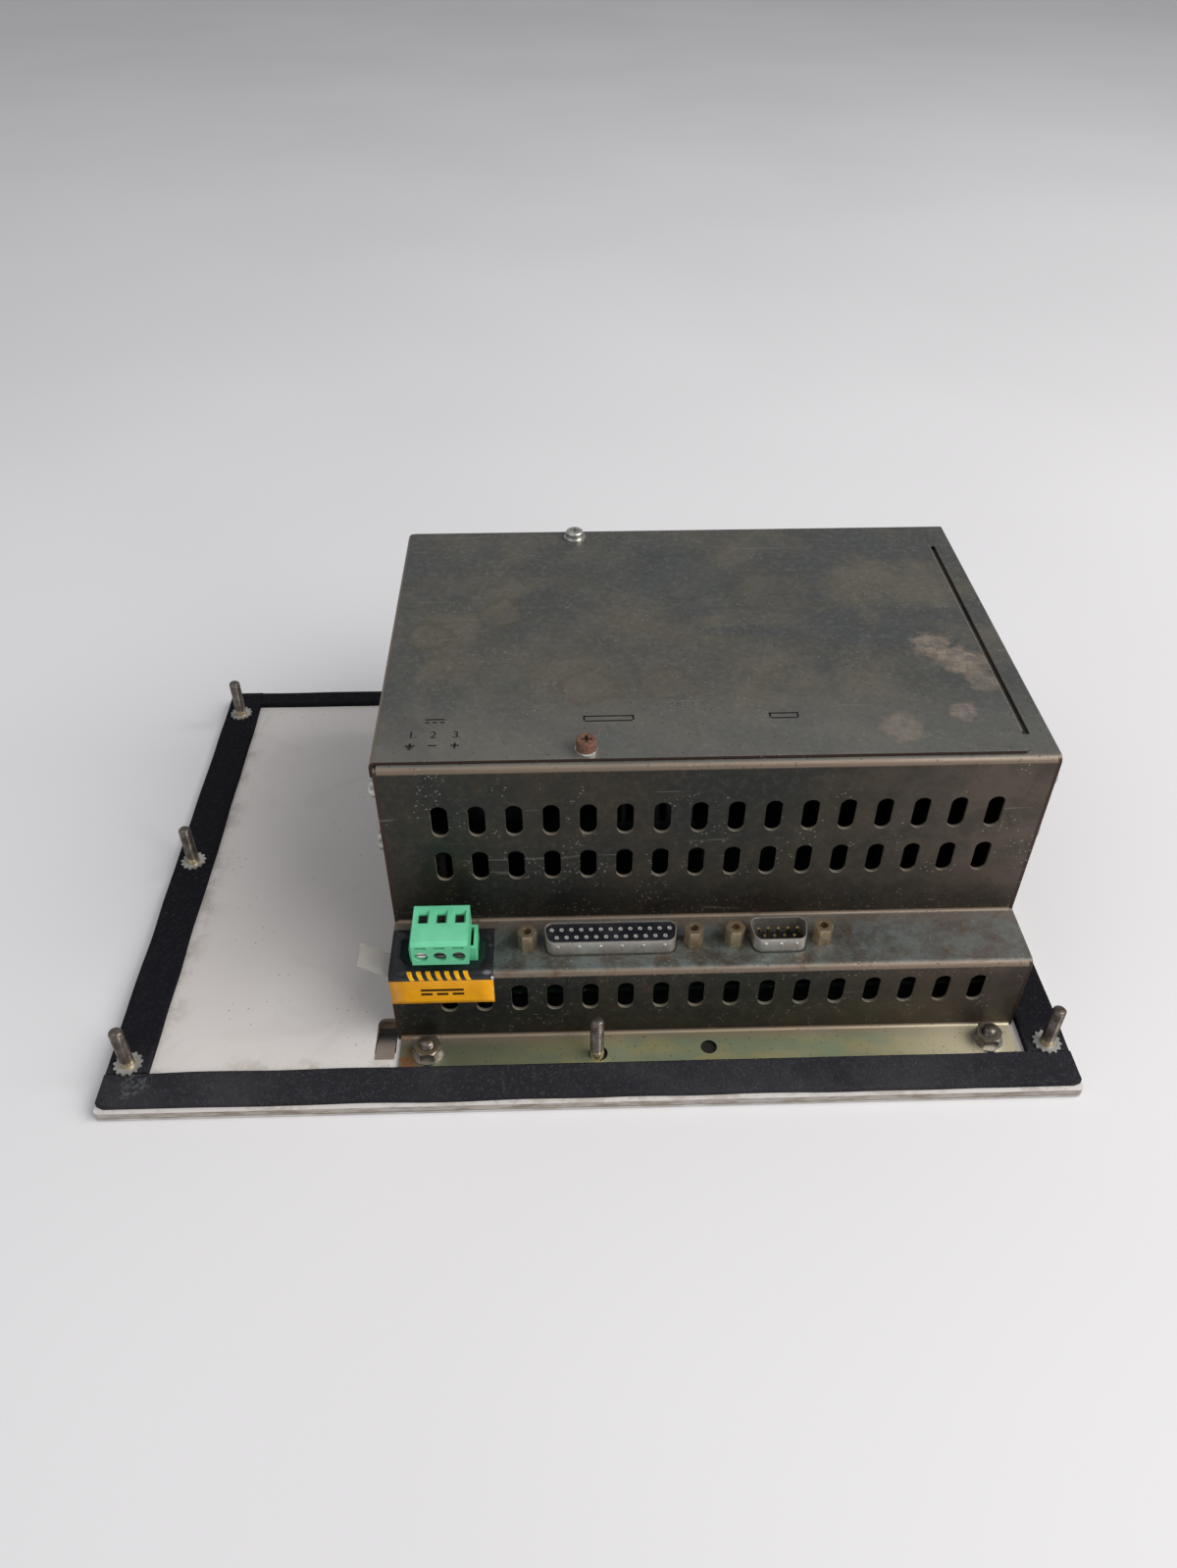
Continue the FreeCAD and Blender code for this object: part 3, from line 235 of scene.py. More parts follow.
def aged_zinc(name, stains=(), vented=False):
    """Yellow-zinc sheet gone dull: olive walls darkened with painted shade, browner to the right, a dusty
    top lightened with painted light, pale flanges.

    A vented sheet has the cut edges inside its slots painted bright as a highlight, and any other has
    dark cut edges, partly rust and partly painted shadow.
    Each stain is (centre, radius, tone, strength).
    """
    r = Recipe(name, metallic=0.6)
    cloud = r.rise(r.noise(24.0, 4.0, 0.55, distortion=0.9), 0.38, 0.62)
    mottle = r.rise(r.noise(95.0, 4.0, 0.62, distortion=0.4), 0.38, 0.66)
    grain = r.noise(1300.0, 2.0, 0.7)
    top = r.rise(r.facing[2], 0.4, 0.95)
    step_low, step_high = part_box("chassis_step")
    ledge_z = step_high.z - 1 * MM
    right = r.rise(r.x, 45 * MM, 125 * MM)

    # Wall colour, darkened as painted shade against the lighter top colour mixed in below
    shade = r.mix(cloud, (0.021, 0.024, 0.021), (0.044, 0.038, 0.027))
    shade = r.mix(right, shade, (0.104, 0.080, 0.060))
    shade = r.mix(r.both(mottle, 0.5), shade, (0.019, 0.020, 0.019))
    # Painted shade: darker where the walls meet the ledge and the flange, in the inside bends
    shaded_wall_foot = r.math("MAXIMUM", r.near(r.z, ledge_z + 4 * MM, 7 * MM),
                       r.near(r.z, 6 * MM, 8 * MM))
    shade = r.mix(r.both(shaded_wall_foot, 0.45), shade, (0.030, 0.024, 0.018))

    low_wall = r.both(right, r.rise(r.z, ledge_z - 2 * MM, ledge_z - 6 * MM))
    shade = r.mix(r.both(low_wall, 0.45), shade, (0.045, 0.036, 0.028))

    flat = r.mix(cloud, (0.100, 0.107, 0.104), (0.165, 0.150, 0.118))
    flat = r.mix(r.both(mottle, 0.40), flat, (0.098, 0.092, 0.078))
    # Painted light: the top grows lighter towards its near edge
    front = r.rise(r.y, -12 * MM, -50 * MM)
    flat = r.mix(r.both(front, 0.55), flat, (0.215, 0.210, 0.188))
    on_ledge = r.near(r.z, ledge_z, 3 * MM)
    ledge_tone = r.mix(mottle, (0.160, 0.196, 0.186), (0.095, 0.082, 0.067))
    patch = r.rise(r.noise(150.0, 4.0, 0.6, distortion=0.6), 0.46, 0.60)
    ledge_tone = r.mix(r.both(patch, 0.55), ledge_tone, (0.062, 0.050, 0.038))
    ledge_tone = r.mix(r.both(r.rise(r.y, -61 * MM, -54 * MM), 0.6), ledge_tone, (0.260, 0.200, 0.150))
    ledge_tone = r.mix(r.both(right, 0.45), ledge_tone, (0.225, 0.205, 0.190))
    flat = r.mix(on_ledge, flat, ledge_tone)
    dust = r.rise(r.noise(480.0, 4.0, 0.75), 0.46, 0.66)
    shade = r.mix(r.both(dust, 0.26), shade, (0.095, 0.084, 0.066))
    flat = r.mix(r.both(dust, 0.28), flat, (0.260, 0.250, 0.225))
    # Painted light and shade: up-facing faces take the lighter top colour, the walls the darker one
    shade = r.mix(top, shade, flat)

    # Painted highlight: the rounded bends of the sheet get a lighter brown colour
    tilt = r.math("ABSOLUTE", r.facing[2])
    bend_highlight = r.both(r.rise(tilt, 0.04, 0.3), r.rise(tilt, 0.99, 0.8))
    shade = r.mix(r.both(bend_highlight, 0.7), shade, (0.300, 0.225, 0.165))
    rust = r.rise(r.noise(130.0, 5.0, 0.7, distortion=0.8), 0.57, 0.68)
    rust_zone = r.near(r.z, ledge_z + 1 * MM, 12 * MM)
    rust_share = r.math("ADD", 0.15, r.both(rust_zone, 0.4))
    shade = r.mix(r.both(rust, rust_share), shade, (0.130, 0.078, 0.048))

    foot = r.both(top, r.rise(r.z, 9 * MM, 5 * MM))
    tint = r.rise(r.noise(75.0, 3.0, 0.5, stretch=(1.0, 2.2, 1.0)), 0.40, 0.62)
    passivated = r.mix(tint, (0.400, 0.372, 0.195), (0.300, 0.345, 0.215))
    passivated = r.mix(r.rise(r.x, 5 * MM, -40 * MM), passivated, (0.175, 0.190, 0.125))
    rosy = r.both(r.rise(r.y, step_low.y + 6 * MM, step_low.y + 10 * MM), 0.7)
    passivated = r.mix(rosy, passivated, (0.360, 0.265, 0.205))
    passivated = r.mix(r.rise(r.x, 70 * MM, 120 * MM), passivated, (0.700, 0.620, 0.440))
    end_rust = r.both(r.rise(r.x, step_low.x + 12 * MM, step_low.x),
                      r.rise(r.noise(190.0, 4.0, 0.7), 0.42, 0.56))
    passivated = r.mix(end_rust, passivated, (0.260, 0.110, 0.045))
    shade = r.mix(foot, shade, passivated)

    if vented:
        # Painted highlight: the sideways cut edges inside the slots get a bright colour
        in_slots = r.math("MAXIMUM", r.near(r.z, *LOWER_SLOTS), r.near(r.z, *UPPER_SLOTS))
        sideways = r.rise(r.math("ABSOLUTE", r.facing[1]), 0.4, 0.2)
        cut_edge_highlight_and_shadow = r.both(sideways, r.rise(in_slots, 0.1, 0.25))
        shade = r.mix(r.both(cut_edge_highlight_and_shadow, 0.8), shade, (0.420, 0.375, 0.290))
    else:
        # Near-facing cut edges painted dark: partly rust, partly painted shadow in the gap beside the
        # wall
        cut_edge_highlight_and_shadow = r.rise(r.facing[1], -0.5, -0.8)
        shade = r.mix(r.both(cut_edge_highlight_and_shadow, 0.9), shade, (0.050, 0.027, 0.020))

    worn = r.rise(r.noise(330.0, 5.0, 0.7), 0.40, 0.60)
    for centre, radius, tone, strength in stains:
        blotch = r.spot(centre, radius)
        rim = r.both(blotch, r.math("SUBTRACT", 1.0, r.spot(centre, 0.8 * radius)))
        patchy = r.both(blotch, r.level(worn, 0.4, 1.0))
        shade = r.mix(r.both(patchy, strength), shade, tone)
        shade = r.mix(r.both(rim, 0.6 * strength), shade, tuple(0.35 * c for c in tone))
    dusty = r.math("MAXIMUM", r.rise(r.noise(120.0, 3.0), 0.52, 0.62), r.both(rust_zone, 0.6))
    specks = r.both(r.rise(r.cells(700.0), 0.26, 0.12), dusty)
    shade = r.mix(r.both(specks, 0.5), shade, (0.34, 0.34, 0.32))
    pits = r.both(r.rise(r.cells(480.0, stretch=(1.0, 1.3, 1.1)), 0.24, 0.08),
                  r.rise(grain, 0.42, 0.55))
    shade = r.mix(r.both(pits, 0.55), shade, (0.022, 0.020, 0.018))
    scratch = r.rise(r.noise(420.0, 2.0, 0.5, stretch=(0.08, 1.0, 1.0)), 0.70, 0.76)
    shade = r.mix(r.both(scratch, 0.25), shade, (0.30, 0.28, 0.25))
    r.colour(shade)
    r.roughness(r.level(r.math("ADD", r.both(cloud, 0.5), r.both(grain, 0.5)), 0.36, 0.62))
    # The chassis is one sheet in two nodes, so the line where they meet gets no rounded edge
    from_seam = r.math("ABSOLUTE", r.math("SUBTRACT", r.z, step_high.z))
    r.relief((grain, 0.02 * MM), (specks, 0.015 * MM), rounding=0.25 * MM,
             flat_where=r.rise(from_seam, 0.5 * MM, 0.35 * MM))
    return r.material


def coated_plate():
    """Off-white coated sheet, faintly glossy, with grey handling marks, a grubby rim and painted shade
    under the chassis.
    """
    r = Recipe("coated_plate", roughness=0.36, Specular_IOR_Level=0.45)
    haze = r.rise(r.noise(11.0, 4.0, 0.55), 0.30, 0.70)
    shade = r.mix(haze, (0.705, 0.660, 0.630), (0.750, 0.712, 0.682))
    foam_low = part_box("panel_gasket")[0]
    to_foam = r.math("MINIMUM", r.math("SUBTRACT", r.x, foam_low.x + 11 * MM),
                     r.math("SUBTRACT", r.y, foam_low.y + 10 * MM))
    dirt = r.both(r.rise(to_foam, 9 * MM, 1 * MM), r.rise(r.noise(110.0, 5.0, 0.7), 0.46, 0.62))
    shade = r.mix(r.both(dirt, 0.35), shade, (0.250, 0.190, 0.130))
    smudge = r.rise(r.noise(34.0, 5.0, 0.65, distortion=1.2), 0.58, 0.68)
    shade = r.mix(r.both(smudge, 0.07), shade, (0.300, 0.265, 0.235))
    rim = r.rise(r.facing[2], 0.5, 0.2)
    edge_grime = r.noise(160.0, 4.0, 0.65, stretch=(1.0, 1.0, 4.0))
    rim_tone = r.mix(r.rise(edge_grime, 0.40, 0.66), (0.430, 0.390, 0.350), (0.230, 0.185, 0.140))
    shade = r.mix(rim, shade, rim_tone)
    # Painted shade: the plate is coloured near black where the chassis covers it
    under = r.inside(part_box("chassis_step")[0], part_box("chassis")[1], MM)
    shade = r.mix(under, shade, (0.020, 0.019, 0.018))
    dots = r.both(r.rise(r.cells(300.0), 0.13, 0.05), r.rise(r.noise(40.0), 0.50, 0.60))
    shade = r.mix(r.both(dots, 0.6), shade, (0.24, 0.22, 0.20))
    scuff = r.rise(r.noise(130.0, 3.0, 0.6, stretch=(0.15, 1.0, 1.0), distortion=0.5), 0.66, 0.74)
    shade = r.mix(r.both(scuff, 0.06), shade, (0.36, 0.34, 0.32))
    r.colour(shade)
    r.roughness(r.level(r.noise(60.0, 4.0), 0.28, 0.46))
    r.relief((r.noise(520.0, 2.0), 0.012 * MM), rounding=0.3 * MM)
    return r.material


def overlay_film():
    """Front film: pale grey, with a dark surround of the display and a blue-grey keypad field."""
    r = Recipe("overlay_film", roughness=0.42)
    border, margin, blur = 9 * MM, 5 * MM, 0.2 * MM
    around_window = r.inside(*grown(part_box("display_window"), border), blur)
    around_keys = r.inside(*grown(key_field(), margin), blur)
    tone = r.mix(r.rise(r.noise(25.0), 0.3, 0.7), (0.40, 0.415, 0.42), (0.44, 0.45, 0.455))
    tone = r.mix(around_window, tone, (0.035, 0.04, 0.048))
    tone = r.mix(around_keys, tone, (0.145, 0.165, 0.190))
    side_tone = r.mix(r.rise(r.noise(90.0), 0.4, 0.6), (0.62, 0.60, 0.57), (0.46, 0.43, 0.39))
    tone = r.mix(r.rise(r.facing[2], -0.7, -0.3), tone, side_tone)
    r.colour(tone)
    r.roughness(r.level(r.noise(900.0, 2.0), 0.36, 0.50))
    r.relief((r.cells(2400.0), 0.02 * MM))
    return r.material


def key_film():
    """Key top: a lighter grey film with the same matt texture."""
    r = Recipe("key_film", roughness=0.4)
    tone = r.mix(r.rise(r.noise(60.0), 0.3, 0.7), (0.60, 0.61, 0.60), (0.66, 0.67, 0.66))
    r.colour(tone)
    r.roughness(r.level(r.noise(900.0, 2.0), 0.34, 0.48))
    r.relief((r.cells(2400.0), 0.02 * MM), rounding=0.2 * MM)
    return r.material


def circuit_film():
    """Brown adhesive and film layer that shows as a line round the panel's edge."""
    r = Recipe("circuit_film", roughness=0.55)
    streak = r.rise(r.noise(140.0, 4.0, 0.6), 0.35, 0.65)
    r.colour(r.mix(streak, (0.11, 0.06, 0.03), (0.26, 0.17, 0.10)))
    r.relief((r.noise(700.0), 0.03 * MM))
    return r.material


def foam():
    """Black closed-cell foam: tiny cells, more dust on the near strip, a grey rub near one corner."""
    r = Recipe("foam", roughness=0.95, Specular_IOR_Level=0.08)
    low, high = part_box("panel_gasket")
    dust = r.rise(r.noise(26.0, 5.0, 0.65), 0.40, 0.72)
    tone = r.mix(dust, (0.022, 0.022, 0.026), (0.044, 0.043, 0.048))
    beyond_near = r.rise(r.y, low.y + 11 * MM, low.y + 22 * MM)
    tone = r.mix(beyond_near, tone, (0.010, 0.010, 0.013))
    grain = r.rise(r.noise(1100.0, 4.0, 0.8), 0.50, 0.66)
    tone = r.mix(r.both(grain, r.level(beyond_near, 0.5, 0.18)), tone, (0.075, 0.080, 0.092))
    grit = r.both(r.rise(r.cells(760.0), 0.20, 0.08), r.rise(r.noise(70.0, 3.0), 0.46, 0.60))
    tone = r.mix(r.both(grit, 0.4), tone, (0.15, 0.155, 0.165))
    corner = (low.x + 9 * MM, low.y + 6 * MM, high.z)
    rub = r.both(r.spot(corner, 4 * MM, 260.0), r.rise(r.noise(800.0, 3.0), 0.42, 0.62))
    tone = r.mix(r.both(rub, 0.45), tone, (0.14, 0.145, 0.15))
    r.colour(tone)
    r.relief((r.cells(1500.0), 0.16 * MM), (r.noise(420.0, 3.0), 0.10 * MM))
    return r.material


def plain_steel(name, light, dark, roughness=0.34, metallic=0.9):
    """Small turned or stamped steel part with a blotchy, tarnished plating."""
    r = Recipe(name, metallic=metallic)
    tarnish = r.rise(r.noise(220.0, 4.0, 0.65), 0.36, 0.66)
    r.colour(r.mix(tarnish, light, dark))
    r.roughness(r.level(tarnish, roughness - 0.06, roughness + 0.14))
    r.relief((r.noise(1600.0, 2.0), 0.008 * MM), rounding=0.12 * MM)
    return r.material


def stud_steel():
    """Stud: grey-brown thread, and a bright brassy foot where the plating is whole."""
    r = Recipe("stud_steel", metallic=0.85)
    foam_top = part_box("panel_gasket")[1].z
    foot = r.rise(r.z, foam_top + 3.2 * MM, foam_top + 1.0 * MM)
    tarnish = r.rise(r.noise(260.0, 4.0, 0.65), 0.36, 0.66)
    body = r.mix(tarnish, (0.225, 0.195, 0.170), (0.095, 0.075, 0.062))
    r.colour(r.mix(foot, body, r.mix(tarnish, (0.78, 0.66, 0.42), (0.46, 0.37, 0.22))))
    r.roughness(r.level(r.math("SUBTRACT", tarnish, foot), 0.26, 0.46))
    r.relief((r.noise(1800.0, 2.0), 0.008 * MM))
    return r.material


def rusty_steel():
    """Screw eaten by red-brown rust, with pits and a few metal glints."""
    r = Recipe("rusty_steel", metallic=0.35, roughness=0.7)
    crust = r.rise(r.noise(900.0, 5.0, 0.7), 0.40, 0.62)
    tone = r.mix(crust, (0.135, 0.075, 0.055), (0.240, 0.110, 0.065))
    glint = r.rise(r.noise(1500.0, 2.0), 0.64, 0.72)
    r.colour(r.mix(r.both(glint, 0.5), tone, (0.40, 0.36, 0.33)))
    r.relief((crust, 0.12 * MM), rounding=0.15 * MM)
    return r.material


def terminal_plastic():
    """Satin green moulding, slightly paler on its worn upper faces."""
    r = Recipe("terminal_plastic", roughness=0.42, Specular_IOR_Level=0.4)
    dust = r.both(r.rise(r.facing[2], 0.3, 0.95), r.rise(r.noise(120.0, 4.0), 0.25, 0.75))
    tone = r.mix(dust, (0.125, 0.560, 0.300), (0.200, 0.680, 0.420))
    r.colour(tone)
    r.roughness(r.level(r.noise(300.0, 3.0), 0.36, 0.52))
    r.relief((r.noise(900.0, 2.0), 0.02 * MM), rounding=0.18 * MM)
    return r.material


def moulded_black():
    """Black moulding with a faintly greyer bloom."""
    r = Recipe("moulded_black", roughness=0.6, Specular_IOR_Level=0.25)
    bloom = r.rise(r.noise(240.0, 4.0), 0.4, 0.7)
    r.colour(r.mix(bloom, (0.006, 0.007, 0.010), (0.018, 0.019, 0.023)))
    r.relief((r.noise(900.0, 2.0), 0.02 * MM), rounding=0.12 * MM)
    return r.material


def contact_gold():
    """Thin worn gold on a contact."""
    r = Recipe("contact_gold", metallic=1.0, roughness=0.25)
    r.colour(r.mix(r.rise(r.noise(900.0), 0.4, 0.7), (0.86, 0.72, 0.46), (0.62, 0.47, 0.26)))
    r.relief((r.noise(2400.0), 0.005 * MM))
    return r.material


def printed_label():
    """Glossy sticker: black over the ledge, amber on the lower wall, with rubbed edges."""
    r = Recipe("printed_label", roughness=0.34)
    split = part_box("power_label")[1].z - LABEL_SPLIT
    worn = r.rise(r.noise(420.0, 4.0, 0.7), 0.60, 0.72)
    black = r.mix(r.both(worn, 0.35), (0.011, 0.012, 0.015), (0.090, 0.095, 0.105))
    amber = r.mix(r.rise(r.noise(150.0, 3.0), 0.35, 0.7), (1.00, 0.455, 0.006), (0.88, 0.370, 0.006))
    r.colour(r.mix(r.rise(r.z, split - 0.06 * MM, split + 0.06 * MM), amber, black))
    r.roughness(r.level(worn, 0.30, 0.50))
    r.relief((r.noise(260.0, 3.0), 0.03 * MM))
    return r.material


def clear_film(name, tone, alpha):
    """Clear sheet, a little yellowed and hazy."""
    r = Recipe(name, roughness=0.28, Alpha=alpha, Specular_IOR_Level=0.6)
    r.colour(r.mix(r.rise(r.noise(300.0, 3.0), 0.4, 0.7), tone, tuple(0.8 * c for c in tone)))
    r.relief((r.noise(500.0), 0.03 * MM))
    return r.material


def tail_film():
    """Membrane circuit tail: brown-grey film, with painted shade darkening it towards where it dips under
    the plate.
    """
    r = Recipe("tail_film", roughness=0.35)
    low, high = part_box("keypad_tail")
    # Painted shade: darker towards the end that dips into the recess under the plate
    depth = r.rise(r.y, low.y + 4 * MM, high.y - 3 * MM)
    r.colour(r.mix(depth, (0.235, 0.190, 0.155), (0.012, 0.010, 0.009)))
    r.relief((r.noise(500.0), 0.03 * MM))
    return r.material


def screen_glass(name, tone, alpha):
    """Smoked glass or window film in front of the display."""
    r = Recipe(name, roughness=0.12, Alpha=alpha)
    r.colour(r.mix(r.rise(r.noise(30.0), 0.3, 0.7), tone, tuple(0.85 * c for c in tone)))
    r.relief((r.noise(1500.0), 0.004 * MM))
    return r.material


def display_cell():
    """Switched-off display: dark grey-green with a very fine dot grid."""
    r = Recipe("display_cell", roughness=0.22)
    grid = r.add("ShaderNodeTexChecker", {"Vector": r.place, "Scale": 3000.0}).outputs["Fac"]
    r.colour(r.mix(r.both(grid, 0.4), (0.030, 0.040, 0.034), (0.050, 0.062, 0.052)))
    r.relief((r.noise(900.0), 0.01 * MM))
    return r.material


def circuit_board():
    """Green solder mask darkened to near black as painted shade inside the chassis, with tracks a shade
    lighter and a few tinned pads.
    """
    r = Recipe("circuit_board", roughness=0.8, Specular_IOR_Level=0.1)
    lanes = r.add("ShaderNodeTexBrick", {"Vector": r.place, "Scale": 160.0, "Mortar Size": 0.06,
                                         "Brick Width": 1.7, "Row Height": 0.35})
    pads = r.rise(r.cells(260.0), 0.16, 0.12)
    # Painted shade: the board's green is near black, standing in for the shade inside the chassis
    tone = r.mix(lanes.outputs["Fac"], (0.002, 0.007, 0.004), (0.003, 0.012, 0.006))
    r.colour(r.mix(r.both(pads, 0.5), tone, (0.09, 0.085, 0.07)))
    r.relief((lanes.outputs["Fac"], 0.03 * MM))
    return r.material


def ink(name, tone):
    """Matt print, thinner and paler in places."""
    r = Recipe(name, roughness=0.8, Specular_IOR_Level=0.15)
    thin = tuple(min(1.0, 1.8 * c + 0.01) for c in tone)
    r.colour(r.mix(r.rise(r.noise(1200.0, 3.0), 0.45, 0.75), tone, thin))
    return r.material


# ---------------------------------------------------------------- mesh helpers

def piece(name, points, faces, material, body, smooth=True):
    """A new mesh object that rides on a body."""
    mesh = bpy.data.meshes.new(name)
    mesh.from_pydata([tuple(p) for p in points], [], faces)
    mesh.validate()
    mesh.polygons.foreach_set("use_smooth", [smooth] * len(mesh.polygons))
    mesh.materials.append(material)
    mesh.update()
    made = bpy.data.objects.new(name, mesh)
    bpy.context.scene.collection.objects.link(made)
    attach(made, body)
    return made


def sharpen(made, degrees=35.0):
    """Smooth shading that keeps edges sharper than the given turn."""
    made.data.set_sharp_from_angle(angle=math.radians(degrees))
    return made


class Shape:
    """Vertices and faces gathered for one mesh."""

    def __init__(self):
        self.points, self.faces = [], []

    def add(self, points, faces):
        start = len(self.points)
        self.points += [Vector(p) for p in points]
        self.faces += [tuple(start + i for i in face) for face in faces]

    def box(self, low, high):
        (x0, y0, z0), (x1, y1, z1) = low, high
        corners = [(x0, y0, z0), (x1, y0, z0), (x1, y1, z0), (x0, y1, z0),
                   (x0, y0, z1), (x1, y0, z1), (x1, y1, z1), (x0, y1, z1)]
        self.add(corners, [(0, 3, 2, 1), (4, 5, 6, 7), (0, 1, 5, 4),
                           (1, 2, 6, 5), (2, 3, 7, 6), (3, 0, 4, 7)])

    def tube(self, rings):
        """Closed skin over rings of equal length, one after another."""
        count = len(rings[0])
        faces = []
        for row in range(len(rings) - 1):
            for k in range(count):
                a, b = row * count + k, row * count + (k + 1) % count
                faces.append((a, b, b + count, a + count))
        last = (len(rings) - 1) * count
        faces.append(tuple(reversed(range(count))))
        faces.append(tuple(last + k for k in range(count)))
        self.add([p for ring in rings for p in ring], faces)

    def bead(self, centre, size):
        """Small ellipsoid."""
        turns = [2 * math.pi * k / BEAD_SIDES for k in range(BEAD_SIDES)]
        rings = []
        for row in range(1, BEAD_ROWS):
            tilt = math.pi * row / BEAD_ROWS
            rings.append([(centre[0] + size[0] * math.sin(tilt) * math.cos(turn),
                           centre[1] + size[1] * math.sin(tilt) * math.sin(turn),
                           centre[2] - size[2] * math.cos(tilt)) for turn in turns])
        self.tube(rings)

    def make(self, name, material, body, smooth=True):
        return piece(name, self.points, self.faces, material, body, smooth)


# ---------------------------------------------------------------- foam gasket

def wander(where, seed):
    """How far a cut edge strays at a place along it."""
    return FOAM_WANDER * noise.noise(Vector((where * 45.0, seed, 0.3 * seed)))


def foam_strip(name, along, span, edges, heights, material, seed, round_ends=(0.0, 0.0)):
    """One hand-laid strip: its long edges wander, its top sinks a little and its edges are rounded.

    along is 0 for a strip that runs in X and 1 for one in Y; edges are its two cross positions.
    round_ends rounds one corner at each end: the low edge's, or the high edge's where negative.
    """
    (start, end), (low, high), (z0, z1) = span, edges, heights
    stations = max(2, int((end - start) / FOAM_STATION))
    arc = [math.radians(a) for a in (0, 30, 60, 90)]
    rings = []
    for i in range(stations + 1):
        s = start + (end - start) * i / stations
        a = low + wander(s, seed)
        b = high + wander(s, seed + 7.3)
        for limit, radius in ((start, round_ends[0]), (end, round_ends[1])):
            if radius and abs(s - limit) < abs(radius):
                cut = abs(radius) - math.sqrt(radius ** 2 - (abs(radius) - abs(s - limit)) ** 2)
                if radius > 0:
                    a = max(a, low + cut)
                else:
                    b = min(b, high - cut)
        r = FOAM_EDGE_R
        section = [(a, z0)]
        section += [(a + r - r * math.cos(t), z1 - r + r * math.sin(t)) for t in arc]
        for k in range(1, FOAM_COLUMNS):
            across = a + r + (b - a - 2 * r) * k / FOAM_COLUMNS
            dip = FOAM_SINK * abs(noise.noise(Vector((s * 60.0, across * 90.0, seed))))
            section.append((across, z1 - dip))
        section += [(b - r + r * math.sin(t), z1 - r + r * math.cos(t)) for t in arc]
        section.append((b, z0))
        if along == 0:
            rings.append([(s, across, z) for across, z in reversed(section)])
        else:
            rings.append([(across, s, z) for across, z in section])
    shape = Shape()
    shape.tube(rings)
    made = sharpen(shape.make(name, material, "panel"))
    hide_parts("panel_gasket")


def build_gasket(material):
    low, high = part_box("panel_gasket")
    inner_left, inner_right = low.x + FOAM_WIDTH_LEFT, high.x - FOAM_WIDTH_RIGHT
    inner_near, inner_far = low.y + FOAM_WIDTH_NEAR, high.y - FOAM_WIDTH_FAR
    heights, seam = (low.z, high.z), FOAM_SEAM
    foam_strip("foam_near", 0, (low.x, high.x), (low.y, inner_near), heights, material, 1.0,
               (1.0 * MM, 0.8 * MM))
    foam_strip("foam_far", 0, (inner_left + seam, high.x), (inner_far, high.y), heights, material,
               2.0, (0.0, -1.0 * MM))
    foam_strip("foam_left", 1, (inner_near + seam, high.y), (low.x, inner_left), heights, material,
               3.0, (0.0, 1.5 * MM))
    foam_strip("foam_right", 1, (inner_near + seam, inner_far - seam), (inner_right, high.x), heights,
               material, 4.0)


# ---------------------------------------------------------------- threaded studs

def threaded_rings(x, y, z0, z1, radius, plain_top):
    """Rings of an upright rod with a helical thread above plain_top and a chamfered tip."""
    rings = []
    step = THREAD_PITCH / 4
    rows = int((z1 - z0) / step)
    for i in range(rows + 1):
        z = z0 + (z1 - z0) * i / rows
        fade = min(1.0, max(0.0, (z - plain_top) / THREAD_PITCH))
        ring = []
        for k in range(THREAD_SEGMENTS):
            turn = 2 * math.pi * k / THREAD_SEGMENTS
            phase = ((z - z0) / THREAD_PITCH - k / THREAD_SEGMENTS) % 1.0
            groove = THREAD_DEPTH * abs(2 * phase - 1)
            r = min(radius - groove * fade, radius - TIP_CHAMFER + (z1 - z))
            ring.append((x + r * math.cos(turn), y + r * math.sin(turn), z))
        rings.append(ring)
    return rings


def loose_parts(node):
    """Boxes of a node's separate solids, found from its mesh's connected vertices."""
    mesh = NODES[node].data
    group = list(range(len(mesh.vertices)))

    def root(i):
        while group[i] != i:
            group[i] = group[group[i]]
            i = group[i]
        return i

    places = {}
    for v in mesh.vertices:
        key = tuple(round(c, 6) for c in v.co)
        group[v.index] = places.setdefault(key, v.index)
    for a, b in (edge.vertices for edge in mesh.edges):
        group[root(a)] = root(b)
    boxes = {}
    for v in mesh.vertices:
        low, high = boxes.setdefault(root(v.index), (v.co.copy(), v.co.copy()))
        for i in range(3):
            low[i], high[i] = min(low[i], v.co[i]), max(high[i], v.co[i])
    return sorted(boxes.values(), key=lambda b: tuple(round(c, 4) for c in b[0]))


def build_studs(node, plain_top, material):
    shape = Shape()
    for low, high in loose_parts(node):
        centre, radius = (low + high) / 2, (high.x - low.x) / 2
        shape.tube(threaded_rings(centre.x, centre.y, low.z, high.z, radius, plain_top))
    made = sharpen(shape.make(node + "_threaded", material, "panel"), 50.0)
    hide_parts(node)


# ---------------------------------------------------------------- label, prints and small marks

def label_path(lift=0.0):
    """Outline of the label's outer side from the ledge over the bend and down the wall, as (y, z)."""
    low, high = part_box("power_label")
    bend = LABEL_BEND_R + lift
    centre = (low.y + LABEL_BEND_R, high.z - LABEL_BEND_R)
    flat, drop = high.y - centre[0], centre[1] - low.z
    path = [(high.y - flat * k / 10, high.z + lift) for k in range(11)]
    path += [(centre[0] - bend * math.sin(t), centre[1] + bend * math.cos(t))
             for t in (math.radians(15 * k) for k in range(1, 7))]
    return path + [(low.y - lift, centre[1] - drop * k / 8) for k in range(1, 9)]


